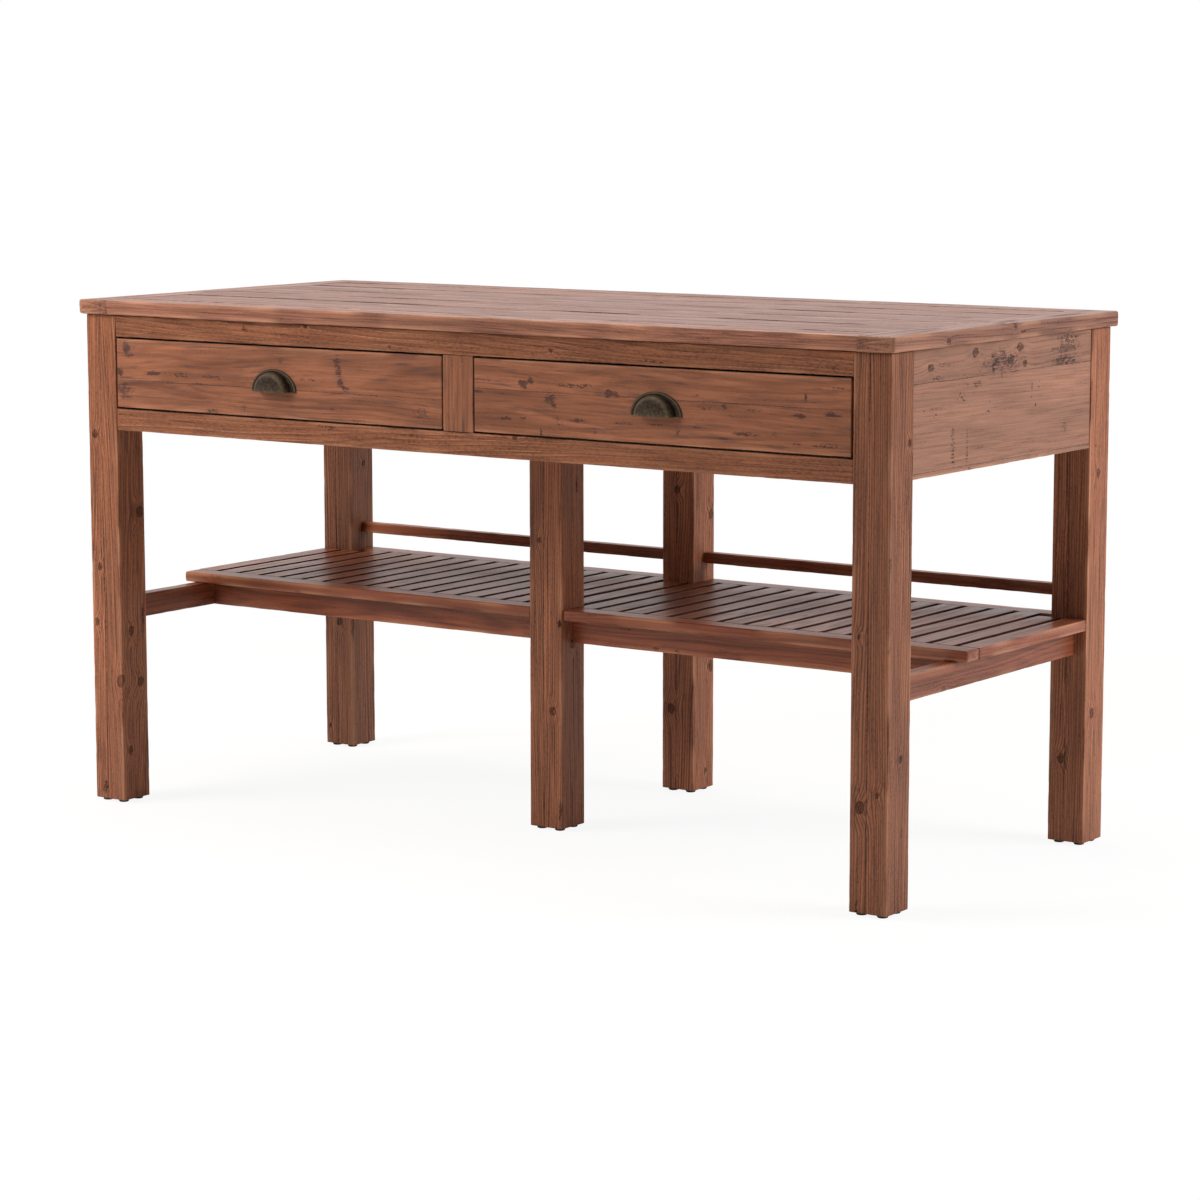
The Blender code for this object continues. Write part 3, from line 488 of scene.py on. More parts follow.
def timber(name, low, high, run, finish, *, body="frame", nodes=(), rounds=None, end_round=None, cuts=(),
           across=0, heart=None, anchor=(0.0, 0.0), marks=None, pooled=(0, 0, 0, 0, 0), wear=(0, 0),
           shade=0.0, lean=0.0, step=None):
    """A board between two corners, with its marks, wear and grain.

    cuts are places along section axis `across` where strips are glued. pooled gives how much stain, and
    painted shade in the gaps between boards, lies on the sides +u, +v, -u and -v of the section and on the
    ends, and shade makes a board lighter, which on some boards is painted light and shade. The surface
    moves inward only: slow waves, chips along the arrises, long hollows in them with a depth for the lower
    and the upper ones in wear, grooves at the glue lines, and a face +v that falls by lean towards +u. Ends
    without a round of their own meet another board and have no wear.
    """
    sizes = bpy.context.scene.island_sizes
    marks = marks or Marks()
    seed = zlib.crc32(name.encode())
    draw = np.random.default_rng(seed)
    board = Board(low, high, run)
    cuts = np.sort(np.array(cuts, float)) - board.middle[board.sides[across]]
    by_side, by_run = board.gathered(cuts, across, marks.pits, sizes.seam_width)
    end = sizes.arris if end_round is None else end_round
    free_ends = end_round is not None and end_round >= TIGHT
    board.carry(rounds or [sizes.arris] * 4, end, free_ends, step or sizes.grid, by_side, by_run, anchor)
    points, edge = board.points, board.edge

    strip = np.searchsorted(cuts, board.flat[:, across])
    # Each strip's tone is the board's shade, which on some boards is painted light and shade, and a random
    # tone
    tone_and_painted_light = shade + draw.normal(0, 0.06, len(cuts) + 1)[strip]
    knot, stain, torn_and_shaded, push, sunk = board.marked(marks, draw, seed)
    log = board.log_place(draw, strip, len(cuts) + 1, heart, push)

    # Stain lies in joints, with painted shade in the gaps between boards; hands and cloths rub the stain from
    # arrises, and the pale arrises also stand for a painted highlight
    facing = np.concatenate([board.outward, -board.outward], 1).clip(0) * board.on_run[:, None]
    pool = np.maximum((facing * pooled[:4]).max(1), pooled[4] * (1 - board.from_end / END_REACH).clip(0))
    stain = np.maximum(stain, pool)
    rubbed_and_highlit = ((noise(points * RUB_AND_HIGHLIGHT_CELLS, seed + 3) - 0.35) * 2.5).clip(0, 1)
    rub_and_highlight = np.exp(-edge / RUB_AND_HIGHLIGHT_REACH) * rubbed_and_highlit * (1 - pool)
    for cut in cuts:
        nearness = (1 - np.abs(board.flat[:, across] - cut) / sizes.seam_width).clip(0, 1)
        sunk += sizes.seam_depth * nearness
        stain = np.maximum(stain, nearness * (0.6 + 0.4 * noise(points * GLUE_CELLS, seed + 6)))

    sunk += sizes.sag * noise(points * WAVE_CELLS, seed + 5) * np.minimum(1, edge / WAVE_START)
    chips = ((noise(points * CHIP_CELLS, seed + 4) - 0.55) * 4).clip(0, 1)
    sunk += sizes.chip * np.exp(-edge / CHIP_REACH) * chips
    hollows = ((noise(points * board.by_grain(*HOLLOW_CELLS), seed + 7) - 0.35) * 2).clip(0, 1)
    sunk += np.where(board.flat[:, 1] < 0, *wear) * np.exp(-edge / HOLLOW_REACH) * hollows
    sunk += lean * board.outward[:, 1].clip(0) * (board.flat[:, 0] / board.extent[board.sides[0]] + 0.5)
    points[:, board.sides] -= board.outward * (sunk * board.on_run)[:, None]
    quads, triangles = closed_tube(board.rows, board.columns, run == "Y")
    attributes = {"grain": log, "mark": np.stack([knot, stain, rub_and_highlight], 1), "torn_and_shaded": torn_and_shaded, "tone_and_painted_light": tone_and_painted_light}
    material = bpy.data.materials[finish.material]
    piece_from(name, points, quads, triangles, material, body, nodes, attributes)


@dataclass
class Finish:
    """The name of a material and the record's slot that it belongs to."""

    material: str
    slot: str


POST = Finish("stained_post_pine", "frame_pine")
RAIL = Finish("stained_brushed_pine", "frame_pine")
DRAWER = Finish("stained_planed_pine", "drawer_pine")
PANEL = Finish("stained_panel_pine", "frame_pine")
TOP = Finish("lacquered_top_pine", "top_pine")
SHELF = Finish("lacquered_shelf_pine", "shelf_pine")
BRONZE = Finish("patinated_bronze", "aged_bronze")


def fill(tree, made, inputs):
    """Give a node's inputs, named or in order, their values or links."""
    for key, value in inputs.items() if isinstance(inputs, dict) else enumerate(inputs):
        if isinstance(value, bpy.types.NodeSocket):
            tree.links.new(value, made.inputs[key])
        else:
            made.inputs[key].default_value = value


def node(tree, kind, inputs=(), stops=(), **settings):
    """Add one node. settings are its properties, inputs are values or sockets, stops a ramp's greys."""
    made = tree.nodes.new("ShaderNode" + kind)
    for key, value in settings.items():
        setattr(made, key, value)
    fill(tree, made, inputs)
    if stops:
        elements = made.color_ramp.elements
        while len(elements) < len(stops):
            elements.new(0.5)
        for element, (place, grey) in zip(elements, stops):
            element.position = place
            element.color = (grey, grey, grey, 1.0)
    return made


def new_material(name):
    """The nodes of a new material, and its Principled shader."""
    made = bpy.data.materials.new(name)
    made.use_nodes = True
    return made.node_tree, made.node_tree.nodes["Principled BSDF"]


# Sockets of a Mix node that mixes colours
FACTOR, COLOUR_A, COLOUR_B, COLOUR_OUT = 0, 6, 7, 2

# Ramps as places and greys: how dark the wood gets in a year, how far the end of a year stands up after
# brushing, and how dark a knot is from its edge to its heart
LATE_WOOD = ((0.0, 0.2), (0.1, 0.0), (0.45, 0.15), (0.8, 1.0), (0.88, 0.9), (1.0, 0.2))
CREST = ((0.0, 0.35), (0.1, 0.0), (0.86, 0.0), (0.95, 1.0), (1.0, 0.35))
KNOT = ((0.0, 0.0), (0.12, 0.0), (0.3, 1.0), (0.55, 0.75), (1.0, 0.95))


def pine(name, light, dark, *, ink=None, run=None, spacing=7.0, rings=0.0, fibre=0.0, ridges=0.0, fleck=0.0,
         smoke=0.0, smoke_length=190.0, streaks=0.0, checks=0.0, wander=30.0, roughness=0.45, dry=0.1,
         gloss=0.5, relief=0.5):
    """Softwood under a stain, from rings round the pith, fibres along it, and what age has left.

    The soft early wood takes the stain, hard late wood shows as dark lines, and wire brushing leaves pale
    ridges on them and short dark flecks between. Smoke and streaks are grey stain in the soft wood, and
    checks are fine drying cracks. Lacquer gives a broad satin gloss, which is rougher by `dry` on the fibres
    and in the cracks. Marks are dull. spacing is the width of a year, wander how far years stray and
    smoke_length the reach of the smoke along the grain, in mm. run names the axis of the grain on a piece
    without attributes.
    """
    colours = bpy.context.scene.island_colours
    ink = ink or colours.ink
    tree, shader = new_material(name)
    add = partial(node, tree)
    if run is None:
        grain = add("Attribute", attribute_name="grain").outputs["Vector"]
    else:
        pith, turn = (0.0, 0.17, -0.6), (0.0, 0.0, -np.pi / 2 if run == "Y" else 0.0)
        place = add("TexCoord").outputs["Object"]
        grain = add("Mapping", {"Vector": place, "Location": pith, "Rotation": turn}).outputs["Vector"]

    # Years stray over about 400 mm of the log and 70 mm across it, and are wide and narrow in turn over 14 mm
    place = add("VectorMath", (grain, (2.4, 14.0, 14.0)), operation="MULTIPLY").outputs[0]
    drift = add("TexNoise", {"Vector": place, "Scale": 1.0, "Detail": 1.0}).outputs["Color"]
    drift = add("VectorMath", (drift, (0.5, 0.5, 0.5)), operation="SUBTRACT").outputs[0]
    reach = (0.0, wander * MM, wander * MM)
    log = add("VectorMath", (drift, reach, grain), operation="MULTIPLY_ADD").outputs[0]
    across = add("VectorMath", (log, (0.0, 1.0, 1.0)), operation="MULTIPLY").outputs[0]
    radius = add("VectorMath", (across,), operation="LENGTH").outputs["Value"]
    uneven = add("TexNoise", {"W": radius, "Scale": 1 / (14 * MM)}, noise_dimensions="1D").outputs["Fac"]
    years = add("Math", (radius, 1 / (spacing * MM)), operation="MULTIPLY").outputs[0]
    years = add("Math", (uneven, 2.2, years), operation="MULTIPLY_ADD").outputs[0]
    year = add("Math", (years,), operation="FRACT").outputs[0]
    late = add("ValToRGB", (year,), LATE_WOOD).outputs["Color"]
    crest = add("ValToRGB", (year,), CREST).outputs["Color"]

    def clouds(along, wide, detail, low, high):
        """Noise of a real size in mm along and across the grain, spread so that low becomes 0 and high 1."""
        scale = (1 / (along * MM), 1 / (wide * MM), 1 / (wide * MM))
        place = add("VectorMath", (log, scale), operation="MULTIPLY").outputs[0]
        drawn = add("TexNoise", {"Vector": place, "Scale": 1.0, "Detail": detail, "Roughness": 0.55})
        spread = {"Value": drawn.outputs["Fac"], "From Min": low, "From Max": high}
        return add("MapRange", spread).outputs["Result"]

    threads = clouds(150, 3.6, 4.0, 0.34, 0.66)
    ticks = clouds(7.0, 2.4, 2.0, 0.46, 0.62)
    patchy = clouds(240, 30, 2.0, 0.38, 0.6)
    haze = clouds(smoke_length, 26, 4.0, 0.46, 0.74)
    smears = clouds(85, 6.0, 3.0, 0.53, 0.74)
    cracks = clouds(400, 3.0, 1.0, 0.645, 0.685)
    slow = clouds(500, 60, 2.0, 0.3, 0.7)
    bundles = add("Math", (threads, 0.7, 0.3), operation="MULTIPLY_ADD").outputs[0]
    brushed = add("Math", (ticks, bundles), operation="MULTIPLY").outputs[0]
    ridge = add("Math", (crest, patchy), operation="MULTIPLY").outputs[0]
    hard = add("Math", (late, threads), operation="MULTIPLY").outputs[0]
    bare = add("Math", (hard, 0.8, cracks), operation="MULTIPLY_ADD").outputs[0]
    value = add("MapRange", {"Value": slow, "To Min": 0.88, "To Max": 1.12}).outputs["Result"]
    layers = [(late, rings, dark), (threads, fibre, dark), (ridge, ridges, colours.worn),
              (brushed, fleck, colours.smoke), (haze, smoke, colours.smoke), (smears, streaks, ink),
              (cracks, checks, ink)]
    lifts = [(crest, 0.8), (brushed, -1.2), (cracks, -2.0 * checks)]

    # Boards carry their tone, with painted light and shade on some, and marks; grit breaks up knots, and grit
    # and threads break up stains
    if run is None:
        tone_and_painted_light = add("Attribute", attribute_name="tone_and_painted_light").outputs["Fac"]
        value = add("Math", (value, tone_and_painted_light), operation="ADD").outputs[0]
        marks = add("Attribute", attribute_name="mark").outputs["Vector"]
        knot, stain, rub_and_highlight = add("SeparateXYZ", (marks,)).outputs
        grit = clouds(5.0, 2.0, 2.0, 0.4, 0.6)
        solid = add("Math", (grit, 0.45, 0.55), operation="MULTIPLY_ADD").outputs[0]
        core = add("ValToRGB", (knot,), KNOT).outputs["Color"]
        core = add("Math", (core, solid), operation="MULTIPLY").outputs[0]
        broken = add("Math", (grit, 0.45, stain), operation="MULTIPLY_ADD").outputs[0]
        broken = add("Math", (threads, 0.45, broken), operation="MULTIPLY_ADD").outputs[0]
        blot = add("MapRange", {"Value": broken, "From Min": 0.7, "From Max": 1.15}).outputs["Result"]
        # Torn grain in the gouges is painted dark: stain and painted shade in the hollows
        torn_and_shaded = add("Attribute", attribute_name="torn_and_shaded").outputs["Fac"]
        torn_and_shaded = add("Math", (torn_and_shaded, clouds(14.0, 2.8, 3.0, 0.48, 0.58)), operation="MULTIPLY").outputs[0]
        blot = add("Math", (blot, torn_and_shaded), operation="MAXIMUM").outputs[0]
        bare = add("Math", (bare, blot), operation="ADD").outputs[0]
        dull = add("Math", (core, blot), operation="MAXIMUM").outputs[0]
        sheen = add("Math", (dull, -0.8 * gloss, gloss), operation="MULTIPLY_ADD").outputs[0]
        tree.links.new(sheen, shader.inputs["Specular IOR Level"])
        # rub paints pale rubbed arrises, which also stand for a painted arris highlight
        layers += [(core, 1.0, colours.knot), (blot, 0.9, ink), (rub_and_highlight, 0.45, colours.worn)]
        lifts.append((blot, -0.6))

    colour, height = tuple(light), threads
    for mask, amount, tint in layers:
        if amount:
            factor = add("Math", (mask, amount), operation="MULTIPLY").outputs[0]
            inputs = {FACTOR: factor, COLOUR_A: colour, COLOUR_B: tuple(tint)}
            colour = add("Mix", inputs, data_type="RGBA").outputs[COLOUR_OUT]
    for mask, lift in lifts:
        height = add("Math", (mask, lift, height), operation="MULTIPLY_ADD").outputs[0]
    colour = add("HueSaturation", {"Value": value, "Color": colour}).outputs["Color"]
    bare = add("Clamp", (bare,)).outputs[0]
    rough = add("Math", (bare, dry, roughness), operation="MULTIPLY_ADD").outputs[0]
    bump = add("Bump", {"Strength": relief, "Distance": 0.6 * MM, "Height": height}).outputs["Normal"]
    fill(tree, shader, {"Base Color": colour, "Roughness": rough, "Normal": bump, "IOR": 1.5})
    shader.inputs["Specular IOR Level"].default_value = gloss


def bronze(name):
    """Cast bronze with a dark patina, brighter by attribute where hands rub it and a highlight is painted."""
    colours = bpy.context.scene.island_colours
    tree, shader = new_material(name)
    add = partial(node, tree)
    place = add("TexCoord").outputs["Object"]
    mottle = add("TexNoise", {"Vector": place, "Scale": 1 / (5 * MM), "Detail": 3.0}).outputs["Fac"]
    rub_and_highlight = add("Attribute", attribute_name="rub_and_highlight").outputs["Fac"]
    factor = add("Math", (mottle, 0.7, rub_and_highlight), operation="MULTIPLY_ADD").outputs[0]
    factor = add("MapRange", {"Value": factor, "From Min": 0.3, "From Max": 1.25}).outputs["Result"]
    inputs = {FACTOR: factor, COLOUR_A: tuple(colours.bronze), COLOUR_B: tuple(colours.rubbed_and_highlit)}
    colour = add("Mix", inputs, data_type="RGBA").outputs[COLOUR_OUT]
    rough = add("MapRange", {"Value": mottle, "To Min": 0.42, "To Max": 0.56}).outputs["Result"]
    bump = add("Bump", {"Strength": 0.25, "Distance": 0.3 * MM, "Height": mottle}).outputs["Normal"]
    fill(tree, shader, {"Base Color": colour, "Roughness": rough, "Normal": bump, "Metallic": 0.4,
                        "Specular IOR Level": 0.2})


def moulded_plastic(name):
    """Black polypropylene, moulded with a fine spark-eroded grain."""
    tree, shader = new_material(name)
    place = node(tree, "TexCoord").outputs["Object"]
    grit = node(tree, "TexNoise", {"Vector": place, "Scale": 1 / (0.8 * MM), "Detail": 1.0}).outputs["Fac"]
    rough = node(tree, "MapRange", {"Value": grit, "To Min": 0.55, "To Max": 0.75}).outputs["Result"]
    colour = tuple(bpy.context.scene.island_colours.plastic)
    fill(tree, shader, {"Base Color": colour, "Roughness": rough, "IOR": 1.49})


def corners(name):
    """The lowest and highest corners of a CAD node."""
    return np.array(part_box(name))


def dressed(name, run, finish, trim=(TENON, TENON), **looks):
    """A board in place of a CAD node, shorter at its ends by trim, which is as a rule what tenons take."""
    low, high = corners(name)
    along = AXES.index(run)
    low[along] += trim[0]
    high[along] -= trim[1]
    timber(f"{name}_wood", low, high, run, finish, nodes=(name,), **looks)


class IslandMaterials(bpy.types.Operator):
    """Make the finishes."""

    bl_idname = "island.materials"
    bl_label = "Finishes"

    def execute(self, context):
        colours = context.scene.island_colours
        frame_tones = colours.frame_light, colours.frame_dark
        # Wire-brushed posts: narrow dark years with pale ridges and drying cracks, nearly matt
        pine(POST.material, *frame_tones, spacing=2.8, rings=0.9, fibre=0.5, ridges=0.45, fleck=0.5,
             smoke=0.25, checks=0.7, wander=10.0, roughness=0.5, gloss=0.25, relief=0.5)
        # Rails brushed harder: pale ridges stand out and flecks lie between them
        pine(RAIL.material, *frame_tones, spacing=5.0, rings=0.5, fibre=0.5, ridges=0.85, fleck=0.6,
             smoke=0.25, checks=0.4, wander=18.0, roughness=0.5, gloss=0.2, relief=0.6)
        # Planed fronts: soft broad years, smoke and streaks of iron stain, smooth
        pine(DRAWER.material, colours.drawer_light, colours.drawer_dark, ink=colours.smear, spacing=9.0,
             rings=0.5, fibre=0.5, fleck=0.12, smoke=0.55, streaks=0.8, roughness=0.45, gloss=0.2, relief=0.2)
        # Panels: paler and greyer, fine even grain, with more gloss, and stain with painted shade in gouges
        # and worm holes
        pine(PANEL.material, colours.panel_light, colours.panel_dark, ink=colours.hollow_stain_and_shade, spacing=5.0,
             rings=0.35, fibre=0.55, ridges=0.2, fleck=0.15, smoke=0.35, streaks=0.2, wander=10.0,
             roughness=0.48, gloss=0.35, relief=0.3)
        # Lacquered top: a satin gloss that dry fibres and cracks break, and smoke in long clouds
        pine(TOP.material, colours.top_light, colours.top_dark, spacing=5.0, rings=0.6, fibre=0.65,
             ridges=0.2, fleck=0.3, smoke=0.5, smoke_length=700.0, checks=0.35, wander=14.0, roughness=0.34,
             dry=0.4, gloss=0.3, relief=0.4)
        # Lacquered shelf: darker and redder, smooth and satin
        pine(SHELF.material, colours.shelf_light, colours.shelf_dark, rings=0.55, fibre=0.45, fleck=0.2,
             smoke=0.2, roughness=0.32, dry=0.15, gloss=0.25, relief=0.25)
        # Inside, planed pine and birch plywood without a stain: pale and dry
        for run in "XY":
            pine(f"planed_raw_pine_{run.lower()}", colours.raw_light, colours.raw_dark, run=run, rings=0.6,
                 fibre=0.25, roughness=0.62, relief=0.25)
        pine("birch_plywood", colours.ply_light, colours.ply_dark, run="X", spacing=16.0, rings=0.3,
             fibre=0.35, roughness=0.6, relief=0.15)
        bronze(BRONZE.material)
        moulded_plastic("black_polypropylene")
        return {"FINISHED"}


class IslandTop(bpy.types.Operator):
    """Boards of the framed top."""

    bl_idname = "island.top"
    bl_label = "Top boards"

    def execute(self, context):
        sizes = context.scene.island_sizes
        outer, seam, tight, housed = sizes.top_round, sizes.seam_arris, 0.2 * MM, 0.5 * MM
        outer_wear, seam_wear = (sizes.edge_wear, 0.3 * sizes.edge_wear), (0, sizes.seam_wear)
        # The front board is painted lighter, as a painted sheen, and the planks lighter and darker in turn,
        # as board tone and as painted sheen
        strips = [("top_front_board", (seam, outer, outer, seam), (1, 0, 0, 0, 0), outer_wear, 0.12, 0.3),
                  ("top_back_board", (outer, seam, seam, outer), (0, 0, 1, 0, 0), outer_wear, 0.0, 0.0)]
        shades, leans = (-0.05, 0.04, 0.0, -0.06, 0.05), (0.55, 0.35, 0.25, 0.35, 0.35)
        # The seams between the boards carry stain and painted shade
        strips += [(f"top_plank_{number}", (seam,) * 4, (1, 0, 1, 0, 0.2), seam_wear, shade, lean)
                   for number, shade, lean in zip(range(1, 6), shades, leans)]
        for name, rounds, pooled, wear, shade, lean in strips:
            dressed(name, "X", TOP, (TENON - housed, TENON - housed), rounds=rounds, end_round=tight,
                    heart=(30 * MM, -65 * MM), marks=Marks(loose_knots=3, loose_stains=6), pooled=pooled,
                    wear=wear, shade=shade, lean=lean * MM)
        for side, sign in SIDES:
            name = f"top_end_{side}"
            low, high = corners(name)
            rounds = (outer, tight, tight, outer) if side == "right" else (tight, outer, outer, tight)
            knots = placed(TOP_EDGE_KNOTS, 0, high[0]) if side == "right" else []
            dressed(name, "Y", TOP, (0, 0), rounds=rounds, end_round=outer, heart=(15 * MM, -140 * MM),
                    anchor=(sign * (low - high)[0] / 2, 0.0), wear=outer_wear,
                    marks=Marks(knots=knots, loose_knots=2, loose_stains=4))
        return {"FINISHED"}


class IslandLegs(bpy.types.Operator):
    """Six posts, each glued from two strips."""

    bl_idname = "island.legs"
    bl_label = "Legs"

    def execute(self, context):
        strip_width = 30 * MM
        # A leg's shade paints light and shade for how the light falls on it
        for name, (shade, front, right) in LEGS.items():
            low, high = corners(name)
            knots = placed(front, 1, low[1]) + placed(right, 0, high[0])
            dressed(name, "Z", POST, (GLIDE_HEIGHT, 0), cuts=(low[0] + strip_width,), shade=shade,
                    heart=(-110 * MM, 100 * MM), marks=Marks(knots=knots, loose_knots=2, loose_stains=5))
        return {"FINISHED"}


class IslandGlides(bpy.types.Operator):
    """Four moulded glides under each leg: a rounded profile turned about its axis."""

    bl_idname = "island.glides"
    bl_label = "Glides"

    def execute(self, context):
        inset, ring_points = 15 * MM, 32
        reach = np.array([5.0, 7.2, 8.3, 8.9, 9.0, 9.0, 8.0]) * MM
        level = np.array([0.0, 0.05, 0.5, 1.4, 2.4, 5.0, 5.3]) * MM
        turn = np.linspace(0, 2 * np.pi, ring_points, endpoint=False)
        ring = np.stack([np.cos(turn), np.sin(turn)], 1)
        disc = np.empty((len(reach), len(turn), 3))
        disc[..., :2] = reach[:, None, None] * ring
        disc[..., 2] = level[:, None]
        disc = np.concatenate([disc.reshape(-1, 3), [(0, 0, level[0]), (0, 0, level[-1])]])
        quads, triangles = closed_tube(len(reach), len(turn), False)
        for name in LEGS:
            low, high = corners(name)
            spots = [(x, y, 0.0) for x in (low[0] + inset, high[0] - inset)
                     for y in (low[1] + inset, high[1] - inset)]
            points = np.concatenate([disc + spot for spot in spots])
            shift = np.arange(len(spots)) * len(disc)
            all_quads = np.concatenate([quads + start for start in shift])
            all_triangles = np.concatenate([triangles + start for start in shift])
            piece_from(f"{name}_glides", points, all_quads, all_triangles,
                       bpy.data.materials["black_polypropylene"], "frame")
        return {"FINISHED"}


class IslandFront(bpy.types.Operator):
    """Front rails and the stile between the drawers."""

    bl_idname = "island.front"
    bl_label = "Front frame"

    def execute(self, context):
        # The rails' faces at the drawer gaps carry stain and painted shade
        rails = (("front_top_rail", (30 * MM, 48 * MM), (0, 0, 0, 0.9, 0), TOP_RAIL_KNOTS),
                 ("front_bottom_rail", (34 * MM, -40 * MM), (0, 0.9, 0, 0, 0), ()))
        for name, heart, pooled, knots in rails:
            front = corners(name)[0][1]
            marks = Marks(knots=placed(knots, 1, front), loose_knots=1, loose_stains=8)
            dressed(name, "X", RAIL, heart=heart, pooled=pooled, marks=marks, shade=-0.07,
                    step=context.scene.island_sizes.fine_grid)
        dressed("front_stile", "Z", DRAWER, (STUB, STUB), marks=Marks(loose_stains=3), shade=-0.12)
        return {"FINISHED"}


class IslandPanels(bpy.types.Operator):
    """End and back panels, glued from boards."""

    bl_idname = "island.panels"
    bl_label = "Panels"

    def execute(self, context):
        glued = {"cuts": PANEL_SEAMS, "across": 1}
        for side, sign in SIDES:
            name = f"end_panel_{side}"
            marks, step = Marks(loose_knots=5, loose_stains=18), None
            if side == "right":
                face = corners(name)[1][0]
                marks = Marks(knots=placed(PANEL_KNOTS, 0, face), stains=stained(PANEL_STAINS, 0, face),
                              pits=placed(PANEL_PITS, 0, face), scars=placed(PANEL_GOUGES, 0, face),
                              loose_stains=8)
                step = context.scene.island_sizes.fine_grid
            dressed(name, "Y", PANEL, heart=(-sign * 60 * MM, 150 * MM), marks=marks, step=step, **glued)
            dressed(f"back_panel_{side}", "X", PANEL, heart=(-60 * MM, 150 * MM),
                    marks=Marks(loose_knots=6, loose_stains=24), **glued)
        return {"FINISHED"}


class IslandDrawerFronts(bpy.types.Operator):
    """Flush drawer fronts, each glued from two boards."""

    bl_idname = "island.drawer_fronts"
    bl_label = "Drawer fronts"

    def execute(self, context):
        # Height of the glue line, stains, and how far the front stops short of the leg on its right
        fronts = (("left", 0.773, LEFT_DRAWER_STAINS, 0), ("right", 0.796, RIGHT_DRAWER_STAINS, 2 * MM))
        for side, seam, rows, short in fronts:
            name = f"drawer_{side}_front"
            face = corners(name)[0][1]
            marks = Marks(stains=stained(rows, 1, face))
            # The top and bottom faces, which lie in the gaps, carry stain and painted shade
            dressed(name, "X", DRAWER, (0, short), body=f"drawer_{side}", cuts=(seam,), across=1,
                    heart=(80 * MM, 0.0), pooled=(0, 0.9, 0, 0.9, 0), marks=marks,
                    step=context.scene.island_sizes.fine_grid)
        return {"FINISHED"}


